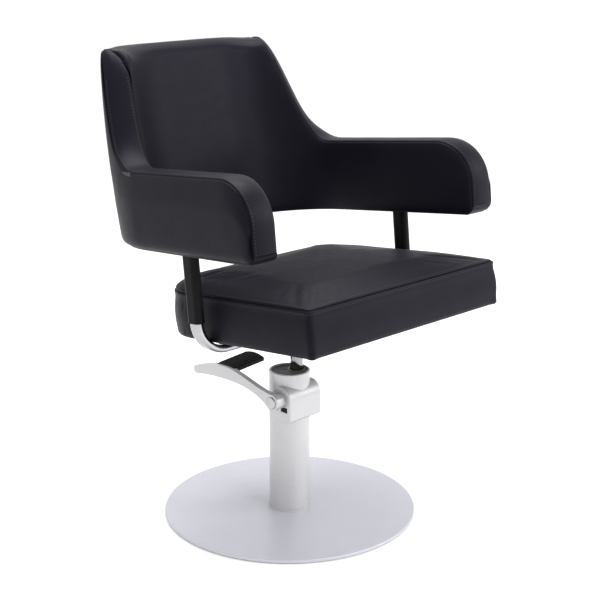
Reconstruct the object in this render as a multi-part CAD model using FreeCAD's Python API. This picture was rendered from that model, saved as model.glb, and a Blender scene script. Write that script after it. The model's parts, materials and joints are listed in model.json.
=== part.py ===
"""Hydraulic styling chair: round base, foot-pumped column, U-tube frame, wrap-around shell and seat.

Units are millimetres. The origin is on the floor, on the axis of the base disc. The sitter faces -Y,
the sitter's right is -X and +Z is up. The chair is drawn at its lowest height with the seat facing
forwards. Everything above the ram is drawn in a seat frame whose origin lies on the ram's axis, and
is then leaned back as one group.
"""
import FreeCAD
import Part
import math
import os

# ---------------------------------------------------------------- driving dimensions
BASE_R = 260.0                  # base disc
BASE_MAT_R = 254.0
MAT_THICK = 2.0
DISC_THICK = 6.0
COLUMN_R = 42.0                 # pump body, the visible column
COLUMN_BORE_R = 38.0
COLUMN_TOP = 306.0
RAM_X = 20.0                    # the ram stands off the column's axis, beside the hand pump
RAM_R = 13.0
RAM_TRAVEL = 150.0
PUMP_X = -20.0                  # axis of the small pump barrel
SHAFT_Y = -20.0                 # axis of the pedal shaft, along X
SHAFT_Z = 255.0
SHAFT_R = 8.0
SEAT_PIVOT_Z = 404.0            # origin of the seat frame
SEAT_TILT = 6.0                 # degrees, leaning back
TUBE_LONG = 30.0                # flat oval frame tube
TUBE_THIN = 15.0
TUBE_WALL = 2.0
TUBE_Y = -38.0
TUBE_HALF_SPAN = 288.5
TUBE_BEND_R = 60.0
TUBE_TOP = 276.0
SEAT_HALF_WIDTH = 260.0
SEAT_FRONT = -311.5
SEAT_REAR = 130.0
SEAT_BOTTOM = 15.5
SEAT_SEAM = 104.0
SEAT_CROWN = 22.0
SHELL_BOTTOM = 190.5
ARM_TOP = 338.0
BACK_TOP = 568.0
BACK_SHOULDER = 557.0
SHELL_THICK = 60.0
INNER_PAD = 17.0                # depth of the inner pad
CORE_DEPTH = 28.0               # depth at which the plywood core ends
SHELL_HALF_WIDTH = 243.6        # inner face of an arm at y = 0
SHELL_SPLAY = 0.09              # arms open towards the front, mm per mm
SHELL_FRONT = -252.0
SHELL_CORNER_R = 160.0
SHELL_CORNER_Y = 72.0
RECLINE = 0.10                  # back leans, mm per mm of height
FRONT_ROUND_R = 84.0            # upper front corner of an arm
FRONT_LOW_R = 15.0              # lower front corner of an arm

RUNNING = 0.05                  # radial running clearance
DISC_TOP = MAT_THICK + DISC_THICK
FOOT_TOP = 30.0
TUBE_SEAT_TOP = TUBE_THIN / 2
PLATE_TOP = SEAT_BOTTOM

X_AXIS = FreeCAD.Vector(1, 0, 0)
Y_AXIS = FreeCAD.Vector(0, 1, 0)
Z_AXIS = FreeCAD.Vector(0, 0, 1)


# ---------------------------------------------------------------- helpers
def vec(x, y, z):
    return FreeCAD.Vector(x, y, z)


def rod(radius, z0, z1, x=0.0, y=0.0):
    """Upright cylinder from z0 to z1."""
    return Part.makeCylinder(radius, z1 - z0, vec(x, y, z0), Z_AXIS)


def rod_x(radius, x0, x1, y=SHAFT_Y, z=SHAFT_Z):
    """Cylinder along X, by default on the pedal shaft's axis."""
    return Part.makeCylinder(radius, x1 - x0, vec(x0, y, z), X_AXIS)


def block(x0, x1, y0, y1, z0, z1):
    return Part.makeBox(x1 - x0, y1 - y0, z1 - z0, vec(x0, y0, z0))


def ring(outer, inner, z0, z1, x=0.0, y=0.0):
    return rod(outer, z0, z1, x, y).cut(rod(inner, z0, z1, x, y))


def join(shapes):
    """Fuse a list of shapes into one clean solid."""
    return shapes[0].multiFuse(shapes[1:]).removeSplitter()


def group(shapes):
    """Separate solids that share one node."""
    return Part.makeCompound(shapes)


def hexagon(across_flats, z0, z1, x, y):
    radius = across_flats / math.sqrt(3)
    angles = [math.radians(60 * i) for i in range(7)]
    corners = [vec(x + radius * math.cos(a), y + radius * math.sin(a), z0) for a in angles]
    return Part.Face(Part.makePolygon(corners)).extrude(vec(0, 0, z1 - z0))


def mirrored(shape):
    """The same shape on the sitter's other side."""
    return shape.mirror(vec(0, 0, 0), X_AXIS)


def seat_placement():
    return FreeCAD.Placement(vec(RAM_X, 0, SEAT_PIVOT_Z), FreeCAD.Rotation(X_AXIS, -SEAT_TILT))


def placed(shape):
    """Move a shape from the seat frame into the chair's frame."""
    copy = shape.copy()
    copy.Placement = seat_placement().multiply(copy.Placement)
    return copy


def smoothstep(t):
    t = min(max(t, 0.0), 1.0)
    return t * t * (3 - 2 * t)


# ---------------------------------------------------------------- base
SCREW_CIRCLE_R = 26.0


def screw_places():
    return [(SCREW_CIRCLE_R * math.cos(math.radians(45 + 90 * i)),
             SCREW_CIRCLE_R * math.sin(math.radians(45 + 90 * i))) for i in range(4)]


def disc_screws():
    """Countersunk screws that pull the pump foot onto the disc from below."""
    screws = []
    for x, y in screw_places():
        head = Part.makeCone(8.0, 4.0, 4.0, vec(x, y, MAT_THICK), Z_AXIS)
        shank = rod(4.0, MAT_THICK + 4.0, 26.0, x, y)
        socket = hexagon(5.0, MAT_THICK, MAT_THICK + 2.5, x, y)
        screws.append(head.fuse(shank).removeSplitter().cut(socket))
    return group(screws)


def screw_voids():
    voids = []
    for x, y in screw_places():
        voids.append(Part.makeCone(8.0, 4.0, 4.0, vec(x, y, MAT_THICK), Z_AXIS))
        voids.append(rod(4.0, MAT_THICK + 4.0, 26.0, x, y))
    return group(voids)


def base_disc():
    disc = rod(BASE_R, MAT_THICK, DISC_TOP)
    rim = [edge for edge in disc.Edges if abs(edge.CenterOfMass.z - DISC_TOP) < 0.01]
    return disc.makeFillet(2.0, rim).cut(screw_voids())


def pump_foot():
    return rod(COLUMN_BORE_R - RUNNING, DISC_TOP, FOOT_TOP).cut(screw_voids())


# ---------------------------------------------------------------- pump housing
BOSS_R = 28.0                   # crosswise boss round the pedal shaft
BOSS_HALF_LENGTH = 45.0
BOSS_LOW = 212.0
BUSH_R = 10.0
BUSH_INNER_X = -31.0
POCKET_R = 18.0                 # room for the rocker inside the boss
POCKET_HALF_LENGTH = 29.0
SLOT = (-40.0, -21.0, 231.0, 242.0)      # y0, y1, z0, z1 of the stop's slot
SLOT_DEPTH = 6.0


def pump_body():
    column = rod(COLUMN_R, DISC_TOP, COLUMN_TOP)
    top_rim = [edge for edge in column.Edges if abs(edge.CenterOfMass.z - COLUMN_TOP) < 0.01]
    column = column.makeChamfer(1.0, top_rim)
    boss = rod_x(BOSS_R, -BOSS_HALF_LENGTH, BOSS_HALF_LENGTH)
    skirt = block(-BOSS_HALF_LENGTH, BOSS_HALF_LENGTH, SHAFT_Y - BOSS_R, SHAFT_Y + BOSS_R, BOSS_LOW, SHAFT_Z)
    uprights = [edge for edge in skirt.Edges if edge.BoundBox.ZLength > 1.0 and edge.CenterOfMass.y < SHAFT_Y]
    level = [edge for edge in skirt.Edges if edge.BoundBox.XLength > 1.0 and edge.CenterOfMass.y < SHAFT_Y]
    lower_front = [edge for edge in level if edge.CenterOfMass.z < SHAFT_Z - 1]
    skirt = skirt.makeFillet(4.0, uprights + lower_front)
    ends = [edge for edge in boss.Edges if edge.BoundBox.XLength < 0.01]
    boss = boss.makeFillet(4.0, ends)
    body = join([column, boss, skirt])
    y0, y1, z0, z1 = SLOT
    slot = block(-BOSS_HALF_LENGTH, -BOSS_HALF_LENGTH + SLOT_DEPTH, y0, y1, z0, z1)
    voids = [rod(COLUMN_BORE_R, DISC_TOP, COLUMN_TOP),
             rod_x(POCKET_R, -POCKET_HALF_LENGTH, POCKET_HALF_LENGTH),
             rod_x(BUSH_R, -BOSS_HALF_LENGTH, -POCKET_HALF_LENGTH),
             slot]
    for void in voids:
        body = body.cut(void)
    return body


def stop_bumper():
    """Rubber stop pressed into the slot on the boss's end face."""
    y0, y1, z0, z1 = SLOT
    face_x = -BOSS_HALF_LENGTH + 1.5
    return block(face_x, -BOSS_HALF_LENGTH + SLOT_DEPTH, y0, y1, z0, z1)


# ---------------------------------------------------------------- pump internals
TUBE_OUTER_R = 17.0             # pressure tube
TUBE_INNER_R = 14.5
PRESSURE_TOP = 296.0
BARREL_R = 11.0
BARREL_TOP = 226.0
PLUNGER_R = 6.0
PLUNGER_HEAD_Z = 245.0
ROCKER_FINGER = 20.0            # pedal shaft to plunger, along +Y
ROCKER_TIP_R = 4.0
ROCKER_X0 = -26.0
ROCKER_X1 = -14.0
CAP_Z0 = PRESSURE_TOP
CAP_Z1 = 302.5
OIL_X = -4.0
OIL_Y = 12.0
OIL_R = 4.0
PUMP_Y = SHAFT_Y + ROCKER_FINGER


def pressure_tube():
    return ring(TUBE_OUTER_R, TUBE_INNER_R, FOOT_TOP, PRESSURE_TOP, RAM_X)


def tube_spacer():
    """Perforated plate that steadies the pressure tube and the pump barrel."""
    plate = rod(COLUMN_BORE_R - 0.1, 190.0, 196.0)
    plate = plate.cut(rod(TUBE_OUTER_R, 190.0, 196.0, RAM_X)).cut(rod(BARREL_R, 190.0, 196.0, PUMP_X, PUMP_Y))
    for y in (-26.0, 26.0):
        plate = plate.cut(rod(5.0, 190.0, 196.0, -6.0, y))
    return plate


def top_cap():
    cap = rod(COLUMN_BORE_R, CAP_Z0, CAP_Z1)
    return cap.cut(rod(TUBE_OUTER_R, CAP_Z0, CAP_Z1, RAM_X)).cut(rod(OIL_R, CAP_Z0, CAP_Z1, OIL_X, OIL_Y))


def oil_filler_screw():
    screw = rod(OIL_R, CAP_Z0, CAP_Z1 - 1.0, OIL_X, OIL_Y)
    return screw.cut(hexagon(4.0, CAP_Z1 - 4.5, CAP_Z1, OIL_X, OIL_Y))


def ram_gland():
    """Guide bush screwed into the top of the pressure tube."""
    gland = rod(TUBE_INNER_R, 276.0, PRESSURE_TOP, RAM_X)
    gland = gland.fuse(rod(TUBE_OUTER_R, PRESSURE_TOP, CAP_Z1 + 0.5, RAM_X))
    gland = gland.cut(rod(RAM_R + RUNNING, 276.0, CAP_Z1 + 0.5, RAM_X))
    return gland.cut(rod(RAM_R + 3.0, CAP_Z1 - 2.5, CAP_Z1 + 0.5, RAM_X))


def wiper_seal():
    seal = rod(RAM_R + 3.0, CAP_Z1 - 2.5, CAP_Z1 + 0.5, RAM_X)
    lip = Part.makeCone(RAM_R + 3.0, RAM_R + 0.8, 1.8, vec(RAM_X, 0, CAP_Z1 + 0.5), Z_AXIS)
    return seal.fuse(lip).removeSplitter().cut(rod(RAM_R + RUNNING, CAP_Z1 - 2.5, CAP_Z1 + 2.3, RAM_X))


def pump_barrel():
    barrel = rod(BARREL_R, FOOT_TOP, BARREL_TOP, PUMP_X, PUMP_Y)
    barrel = barrel.cut(rod(PLUNGER_R + RUNNING, 176.0, BARREL_TOP, PUMP_X, PUMP_Y))
    return barrel.cut(rod(2.5, FOOT_TOP, 176.0, PUMP_X, PUMP_Y))


def plunger():
    stem = rod(PLUNGER_R, 190.0, PLUNGER_HEAD_Z, PUMP_X, PUMP_Y)
    head_top = SHAFT_Z - ROCKER_TIP_R - 0.1
    return stem.fuse(rod(7.0, PLUNGER_HEAD_Z, head_top, PUMP_X, PUMP_Y)).removeSplitter()


WIRE_SIDES = 12                 # spring wire has a twelve-sided section


def coil(mean_r, wire_r, pitch, turns):
    """Open coil round +Z, starting at z = 0."""
    helix = Part.makeHelix(pitch, pitch * turns, mean_r)
    start = helix.Edges[0].valueAt(helix.Edges[0].FirstParameter)
    tangent = helix.Edges[0].tangentAt(helix.Edges[0].FirstParameter)
    upright = tangent.cross(X_AXIS).normalize()
    corners = []
    for i in range(WIRE_SIDES):
        angle = 2 * math.pi * (i + 0.5) / WIRE_SIDES
        corners.append(start + X_AXIS * (wire_r * math.cos(angle)) + upright * (wire_r * math.sin(angle)))
    profile = Part.makePolygon(corners + corners[:1])
    return Part.Wire(helix.Edges).makePipeShell([profile], True, True)


def plunger_spring():
    wire_r = 0.9
    turns = 4
    pitch = (PLUNGER_HEAD_Z - BARREL_TOP - 2 * wire_r - 0.4) / turns
    spring = coil(8.0, wire_r, pitch, turns)
    spring.translate(vec(PUMP_X, PUMP_Y, BARREL_TOP + wire_r + 0.2))
    return spring


def return_spring():
    """Torsion coil round the free end of the pedal shaft."""
    spring = coil(10.4, 1.0, 2.2, 3)
    spring.rotate(vec(0, 0, 0), Y_AXIS, 90)
    spring.translate(vec(-11.0, SHAFT_Y, SHAFT_Z))
    return spring


def shaft_bush():
    return rod_x(BUSH_R, -BOSS_HALF_LENGTH, BUSH_INNER_X).cut(
        rod_x(SHAFT_R + RUNNING, -BOSS_HALF_LENGTH, BUSH_INNER_X))


PISTON_R = 14.45
PISTON_Z0 = 40.0
PISTON_Z1 = 60.0
SEAL_Z0 = 47.0
SEAL_Z1 = 53.0
SPIGOT_R = 8.0


def piston_head():
    head = rod(PISTON_R, PISTON_Z0, PISTON_Z1, RAM_X)
    head = head.cut(rod(SPIGOT_R + RUNNING, PISTON_Z0, PISTON_Z1, RAM_X))
    return head.cut(ring(PISTON_R + 1.0, 12.0, SEAL_Z0, SEAL_Z1, RAM_X))


def piston_seal():
    return ring(PISTON_R + 0.03, 12.0, SEAL_Z0, SEAL_Z1, RAM_X)


# ---------------------------------------------------------------- pedal
HUB_R = 16.5
HUB_INNER_X = -45.5
ARM_X0 = -70.0
ARM_X1 = -58.0
EYE_R = 17.5
PAD_X0 = -62.0
PAD_X1 = 20.0
PLATE_Y = 126.0                 # middle of the foot plate
PLATE_HALF = 28.0
PLATE_Z = 296.5                 # top of the plate at its middle, at its near side
PLATE_RISE = 0.085              # climbs away from the arm, mm per mm
PLATE_ARCH_R = 80.0
PLATE_THICK = 3.0
PAD_THICK = 4.5


def pedal_shaft():
    shaft = rod_x(SHAFT_R, ARM_X0, -3.0)
    groove = rod_x(SHAFT_R + 1.0, -13.4, -12.2).cut(rod_x(7.5, -13.4, -12.2))
    return shaft.cut(groove)


def shaft_circlip():
    """Retaining ring that keeps the rocker on the shaft."""
    clip = rod_x(9.4, -13.4, -12.2).cut(rod_x(7.5, -13.4, -12.2))
    return clip.cut(block(-13.5, -12.1, SHAFT_Y - 2.0, SHAFT_Y + 2.0, SHAFT_Z, SHAFT_Z + 11.0))


def set_screw_hole():
    return rod(3.0, SHAFT_Z, SHAFT_Z + HUB_R + 1.0, -52.0, SHAFT_Y)


def pedal_hub():
    hub = rod_x(HUB_R, ARM_X1, HUB_INNER_X).cut(rod_x(SHAFT_R, ARM_X1, HUB_INNER_X))
    groove = rod_x(HUB_R + 1.0, -48.5, -47.5).cut(rod_x(HUB_R - 0.8, -48.5, -47.5))
    return hub.cut(groove).cut(set_screw_hole())


def hub_set_screw():
    screw = rod(3.0, SHAFT_Z + SHAFT_R, SHAFT_Z + HUB_R - 1.5, -52.0, SHAFT_Y)
    return screw.cut(hexagon(3.0, SHAFT_Z + HUB_R - 4.5, SHAFT_Z + HUB_R, -52.0, SHAFT_Y))


def hub_cap():
    cap = rod_x(12.5, ARM_X0 - 2.5, ARM_X0)
    rim = [edge for edge in cap.Edges if abs(edge.CenterOfMass.x - (ARM_X0 - 2.5)) < 0.01]
    return cap.makeFillet(1.5, rim)


def pump_rocker():
    """Fork on the shaft whose finger presses the plunger."""
    hub = rod_x(11.0, ROCKER_X0, ROCKER_X1)
    finger = block(ROCKER_X0, ROCKER_X1, SHAFT_Y, PUMP_Y, SHAFT_Z - ROCKER_TIP_R, SHAFT_Z + ROCKER_TIP_R)
    tip = rod_x(ROCKER_TIP_R, ROCKER_X0, ROCKER_X1, PUMP_Y)
    return join([hub, finger, tip]).cut(rod_x(SHAFT_R, ROCKER_X0, ROCKER_X1))


def pedal_arm():
    """Flat bar that leaves the shaft upwards, crests, and droops to a rounded tip."""
    upper = [vec(ARM_X0, SHAFT_Y + 4, SHAFT_Z + 17), vec(ARM_X0, 48, 285), vec(ARM_X0, 106, 297),
             vec(ARM_X0, 170, 292), vec(ARM_X0, 215.5, 278.6)]
    lower = [vec(ARM_X0, 209, 262), vec(ARM_X0, 167, 268), vec(ARM_X0, 113, 271),
             vec(ARM_X0, 51, 267), vec(ARM_X0, SHAFT_Y + 14, SHAFT_Z - 10)]
    top = Part.BSplineCurve()
    top.interpolate(upper)
    bottom = Part.BSplineCurve()
    bottom.interpolate(lower)
    tip = Part.Arc(upper[-1], vec(ARM_X0, 221, 268), lower[0])
    root = Part.LineSegment(lower[-1], upper[0])
    outline = Part.Wire([top.toShape(), tip.toShape(), bottom.toShape(), root.toShape()])
    bar = Part.Face(outline).extrude(vec(ARM_X1 - ARM_X0, 0, 0))
    eye = rod_x(EYE_R, ARM_X0, ARM_X1)
    return bar.fuse(eye).removeSplitter().cut(rod_x(SHAFT_R, ARM_X0, ARM_X1))


def arched_slab(x0, x1, half, z_top, thick):
    """Slab arched across Y and rising along X; z_top is at its middle on the arm's side."""
    def arch(z):
        centre_z = z - PLATE_ARCH_R
        angle = math.asin(half / PLATE_ARCH_R)
        edge_z = centre_z + PLATE_ARCH_R * math.cos(angle)
        return vec(x0, PLATE_Y - half, edge_z), vec(x0, PLATE_Y, z), vec(x0, PLATE_Y + half, edge_z)
    left, crest, right = arch(z_top)
    low_left, low_crest, low_right = arch(z_top - thick)
    outline = Part.Wire([Part.Arc(left, crest, right).toShape(),
                         Part.LineSegment(right, low_right).toShape(),
                         Part.Arc(low_right, low_crest, low_left).toShape(),
                         Part.LineSegment(low_left, left).toShape()])
    return Part.Face(outline).extrude(vec(x1 - x0, 0, PLATE_RISE * (x1 - x0)))


def plate_height(x):
    return PLATE_Z + PLATE_RISE * (x - ARM_X1)


def plate_blank():
    return arched_slab(ARM_X1, PAD_X1 - 2.0, PLATE_HALF - 2.0, PLATE_Z, PLATE_THICK)


def pedal_plate():
    return plate_blank().cut(rivet_shapes())


def pedal_pad():
    """Ribbed rubber pad that laps over the plate's edges and over the arm."""
    z_top = plate_height(PAD_X0) + PAD_THICK
    pad = arched_slab(PAD_X0, PAD_X1, PLATE_HALF, z_top, PAD_THICK + PLATE_THICK - 0.5)
    for i in range(-3, 4):
        angle = i * 0.098
        y = PLATE_Y + PLATE_ARCH_R * math.sin(angle)
        z = z_top - PLATE_ARCH_R * (1 - math.cos(angle))
        start = vec(PAD_X0 + 3, y, z + PLATE_RISE * 3)
        run = vec(1, 0, PLATE_RISE)
        pad = pad.fuse(Part.makeCylinder(1.4, PAD_X1 - PAD_X0 - 6, start, run))
    return pad.removeSplitter().cut(plate_blank()).cut(pedal_arm()).cut(rivet_shapes())


def rivet_shapes():
    rivets = []
    for x in (-40.0, 0.0):
        for y in (PLATE_Y - 14, PLATE_Y + 14):
            z = plate_height(x) - PLATE_THICK - 1.2
            head = rod(4.5, z - 2.4, z, x, y)
            rivets.append(head.fuse(rod(2.5, z, z + PLATE_THICK + 3.6, x, y)).removeSplitter())
    return group(rivets)


# ---------------------------------------------------------------- ram and seat bracket
TAPER_Z0 = 345.0
TAPER_Z1 = 395.0
SOCKET_R = 21.0
SOCKET_Z0 = 341.0


def ram_rod():
    shaft = rod(RAM_R, PISTON_Z1 + RUNNING, TAPER_Z0, RAM_X)
    spigot = rod(SPIGOT_R, PISTON_Z0 - 4.0, PISTON_Z1 + RUNNING, RAM_X)
    taper = Part.makeCone(RAM_R, RAM_R - 2.0, TAPER_Z1 - TAPER_Z0, vec(RAM_X, 0, TAPER_Z0), Z_AXIS)
    groove = ring(SPIGOT_R + 1.0, 7.0, PISTON_Z0 - 1.7, PISTON_Z0 - 0.2, RAM_X)
    return join([spigot, shaft, taper]).cut(groove)


def rod_circlip():
    clip = ring(10.5, 7.0, PISTON_Z0 - 1.7, PISTON_Z0 - 0.2, RAM_X)
    return clip.cut(block(RAM_X - 2.0, RAM_X + 2.0, 0, 12.0, PISTON_Z0 - 2, PISTON_Z0))


def below_plate(shape):
    """Trim a shape to the leaned plane of the mounting plate's underside."""
    keep = placed(block(-150, 150, -150, 150, -120, TUBE_SEAT_TOP))
    return shape.common(keep)


def taper_socket():
    socket = rod(SOCKET_R, SOCKET_Z0, 430.0, RAM_X).cut(ram_rod())
    socket = socket.cut(rod(RAM_R - 2.0, TAPER_Z1, 404.0, RAM_X))
    return below_plate(socket)


def socket_ribs():
    """Three gussets between the socket and the plate; the frame tube takes the fourth place."""
    ribs = []
    for angle in (0.0, 90.0, 180.0):
        foot = SOCKET_R - 0.3
        profile = [vec(foot, -3, 355.0), vec(foot, -3, 430.0), vec(76.0, -3, 430.0),
                   vec(76.0, -3, 402.0), vec(foot, -3, 355.0)]
        rib = Part.Face(Part.makePolygon(profile)).extrude(vec(0, 6, 0))
        rib.rotate(vec(0, 0, 0), Z_AXIS, angle)
        rib.translate(vec(RAM_X, 0, 0))
        ribs.append(below_plate(rib.cut(rod(SOCKET_R, SOCKET_Z0, 430.0, RAM_X))))
    return group(ribs)


BOLT_X = 75.0
BOLT_Y = 70.0
BOLT_R = 4.0
BOARD_Z0 = 16.5
BOARD_Z1 = 28.5


def bolt_places():
    return [(sx * BOLT_X, sy * BOLT_Y) for sx in (-1, 1) for sy in (-1, 1)]


def mount_plate():
    plate = block(-100, 100, -90, 90, TUBE_SEAT_TOP, PLATE_TOP)
    corners = [edge for edge in plate.Edges if edge.BoundBox.ZLength > 1.0]
    plate = plate.makeFillet(12.0, corners)
    for x, y in bolt_places():
        plate = plate.cut(rod(BOLT_R, TUBE_SEAT_TOP, PLATE_TOP, x, y))
    return placed(plate)


def seat_bolts():
    bolts = []
    for x, y in bolt_places():
        head = hexagon(13.0, TUBE_SEAT_TOP - 5.5, TUBE_SEAT_TOP, x, y)
        bolts.append(head.fuse(rod(BOLT_R, TUBE_SEAT_TOP, BOARD_Z1 + 3.0, x, y)).removeSplitter())
    return placed(group(bolts))


def seat_tee_nuts():
    nuts = []
    for x, y in bolt_places():
        nut = rod(5.5, BOARD_Z0 + 2.0, BOARD_Z1, x, y).fuse(rod(11.0, BOARD_Z1, BOARD_Z1 + 1.5, x, y))
        nuts.append(nut.removeSplitter().cut(rod(BOLT_R, BOARD_Z0, BOARD_Z1 + 2.0, x, y)))
    return placed(group(nuts))


# ---------------------------------------------------------------- frame tube
def flat_oval(centre, across, along, thin, long):
    """Flat oval face, `thin` wide along `across` and `long` wide along `along`."""
    radius = thin / 2
    half = long / 2 - radius
    a = centre + across * radius - along * half
    b = centre + across * radius + along * half
    c = centre - across * radius + along * half
    d = centre - across * radius - along * half
    crown = centre + along * (half + radius)
    foot = centre - along * (half + radius)
    edges = [Part.LineSegment(a, b), Part.Arc(b, crown, c), Part.LineSegment(c, d), Part.Arc(d, foot, a)]
    return Part.Face(Part.Wire([edge.toShape() for edge in edges]))


def u_bar(thin, long):
    """Solid U bar: two uprights, two bends and a crossbar."""
    bend_x = TUBE_HALF_SPAN - TUBE_BEND_R
    section = flat_oval(vec(TUBE_HALF_SPAN, TUBE_Y, TUBE_BEND_R), X_AXIS, Y_AXIS, thin, long)
    upright = section.extrude(vec(0, 0, TUBE_TOP - TUBE_BEND_R))
    bend = section.revolve(vec(bend_x, 0, TUBE_BEND_R), Y_AXIS, 90)
    crossbar = flat_oval(vec(-bend_x, TUBE_Y, 0), Z_AXIS, Y_AXIS, thin, long).extrude(vec(2 * bend_x, 0, 0))
    return join([upright, bend, crossbar, mirrored(bend), mirrored(upright)])


def frame_tube():
    hollow = u_bar(TUBE_THIN - 2 * TUBE_WALL, TUBE_LONG - 2 * TUBE_WALL)
    return placed(u_bar(TUBE_THIN, TUBE_LONG).cut(hollow))


SLEEVE_GAP = 0.2
SLEEVE_TOP = SHELL_BOTTOM - 2.5


def post_sleeve(side):
    """Black sleeve over an upright; side is +1 on the sitter's left, -1 on the right."""
    height = vec(0, 0, SLEEVE_TOP - TUBE_BEND_R)
    centre = vec(side * TUBE_HALF_SPAN, TUBE_Y, TUBE_BEND_R)
    outer = flat_oval(centre, X_AXIS, Y_AXIS, TUBE_THIN + 6, TUBE_LONG + 6).extrude(height)
    bore = flat_oval(centre, X_AXIS, Y_AXIS, TUBE_THIN + 2 * SLEEVE_GAP, TUBE_LONG + 2 * SLEEVE_GAP)
    return placed(outer.cut(bore.extrude(height)))


# ---------------------------------------------------------------- wrap-around shell
SPLAY_ANGLE = math.atan(SHELL_SPLAY)
SPLAY_LENGTH = math.hypot(1, SHELL_SPLAY)
TANGENT_Y = SHELL_CORNER_Y + SHELL_CORNER_R * math.sin(SPLAY_ANGLE)
SHELL_CORNER_X = SHELL_HALF_WIDTH - SHELL_SPLAY * TANGENT_Y - SHELL_CORNER_R * math.cos(SPLAY_ANGLE)
RISE_START = math.degrees(SPLAY_ANGLE)  # degrees round the corner where the top edge starts to climb
RISE_END = RISE_START + 48.0
RISE_POWER = 1.5                # above 1, the climb starts slowly and ends steeply
SQUARE_END_Y = -180.0           # forward of this the wall's ends are square to the chair
SQUARE_BLEND = 70.0


def arm_inner_x(y):
    return SHELL_HALF_WIDTH - SHELL_SPLAY * y


class Station:
    """One upright section through the shell wall, on the sitter's left."""

    def __init__(self, x, y, normal, lean, low, top):
        self.x = x
        self.y = y
        self.normal = normal
        self.lean = lean
        self.low = low
        self.top = top

    def point(self, depth, z, side=1):
        """Point at a depth behind the inner face and a height, on either side of the chair."""
        rise = z - SHELL_BOTTOM
        x = self.x + self.lean[0] * rise + self.normal[0] * depth
        y = self.y + self.lean[1] * rise + self.normal[1] * depth
        return vec(side * x, y, z)


def arm_station(y):
    """Section through an arm, whose upper and lower front corners are rounded."""
    from_front = y - SHELL_FRONT
    top = ARM_TOP
    if from_front < FRONT_ROUND_R:
        top += math.sqrt(FRONT_ROUND_R ** 2 - (FRONT_ROUND_R - from_front) ** 2) - FRONT_ROUND_R
    low = SHELL_BOTTOM
    if from_front < FRONT_LOW_R:
        low += FRONT_LOW_R - math.sqrt(FRONT_LOW_R ** 2 - (FRONT_LOW_R - from_front) ** 2)
    share = min(max((y - TUBE_Y) / (TANGENT_Y - TUBE_Y), 0.0), 1.0)
    lean = (-SHELL_SPLAY * RECLINE * share, RECLINE * share)
    skew = SHELL_SPLAY * smoothstep((y - SQUARE_END_Y) / SQUARE_BLEND)
    normal = (1 / math.hypot(1, skew), skew / math.hypot(1, skew))
    return Station(arm_inner_x(y), y, normal, lean, low, top)


def corner_station(degrees):
    """Section through the rear corner, where the top edge climbs from the arm to the back."""
    angle = math.radians(degrees)
    share = min(max((degrees - RISE_START) / (RISE_END - RISE_START), 0.0), 1.0)
    climb = smoothstep(share ** RISE_POWER)
    crest = smoothstep((degrees - RISE_END) / (90 - RISE_END))
    top = ARM_TOP + (BACK_SHOULDER - ARM_TOP) * climb + (BACK_TOP - BACK_SHOULDER) * crest
    sideways = -SHELL_SPLAY * RECLINE * (1 - smoothstep((degrees - RISE_START) / (45 - RISE_START)))
    normal = (math.cos(angle), math.sin(angle))
    x = SHELL_CORNER_X + SHELL_CORNER_R * normal[0]
    y = SHELL_CORNER_Y + SHELL_CORNER_R * normal[1]
    return Station(x, y, normal, (sideways, RECLINE), SHELL_BOTTOM, top)


def back_station(x):
    return Station(x, SHELL_CORNER_Y + SHELL_CORNER_R, (0.0, 1.0), (0.0, RECLINE), SHELL_BOTTOM, BACK_TOP)


def half_stations():
    """Sections from the front of an arm to the middle of the back."""
    round_steps = [FRONT_ROUND_R * (1 - math.cos(math.radians(15 * i))) for i in range(7)]
    stations = [arm_station(SHELL_FRONT + step) for step in round_steps]
    stations += [arm_station(y) for y in (-140.0, -110.0, -40.0, 20.0)]
    stations.append(arm_station(TANGENT_Y))
    stations += [corner_station(RISE_START + 4.0 * i) for i in range(1, 13)]
    stations += [corner_station(degrees) for degrees in (60.0, 70.0, 80.0, 90.0)]
    stations += [back_station(x) for x in (45.0, 0.0)]
    return stations


STATIONS = half_stations()
CORE_START = 3                  # first section that the plywood core reaches
CORE_TOP_DROP = 8.0
CORE_LOW_LIFT = 3.0


def shell_layer(profile, first=0):
    """Loft a closed profile, given by a function of a station and side, round the whole shell."""
    half = STATIONS[first:]
    sections = [profile(station, -1) for station in half]
    sections += [profile(station, 1) for station in reversed(half[:-1])]
    wires = [Part.makePolygon(points + points[:1]) for points in sections]
    return Part.makeLoft(wires, True, True)


def core_profile(station, side):
    low = station.low + CORE_LOW_LIFT
    top = station.top - CORE_TOP_DROP
    return [station.point(INNER_PAD, low, side), station.point(INNER_PAD, top, side),
            station.point(CORE_DEPTH, top, side), station.point(CORE_DEPTH, low, side)]


def inner_profile(station, side):
    low = station.low
    top = station.top
    return [station.point(0, low, side), station.point(0, top, side), station.point(CORE_DEPTH, top, side),
            station.point(CORE_DEPTH, top - CORE_TOP_DROP, side),
            station.point(INNER_PAD, top - CORE_TOP_DROP, side), station.point(INNER_PAD, low, side)]


def outer_profile(station, side):
    return [station.point(CORE_DEPTH, station.low, side), station.point(CORE_DEPTH, station.top, side),
            station.point(SHELL_THICK, station.top, side), station.point(SHELL_THICK, station.low, side)]


def shell_core():
    core = shell_layer(core_profile, CORE_START)
    return placed(core.cut(group(screw_solids())))


def shell_inner_pad():
    """Padding on the sitter's side, which also laps over the core's top and front edges."""
    pad = shell_layer(inner_profile)
    for side in (-1, 1):
        sections = []
        for station in STATIONS[:CORE_START + 1]:
            low = station.low
            top = station.top - CORE_TOP_DROP
            points = [station.point(INNER_PAD, low, side), station.point(INNER_PAD, top, side),
                      station.point(CORE_DEPTH, top, side), station.point(CORE_DEPTH, low, side)]
            sections.append(Part.makePolygon(points + points[:1]))
        pad = pad.fuse(Part.makeLoft(sections, True, True))
    return placed(pad)


POCKET_OUTER_X = 298.0


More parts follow.
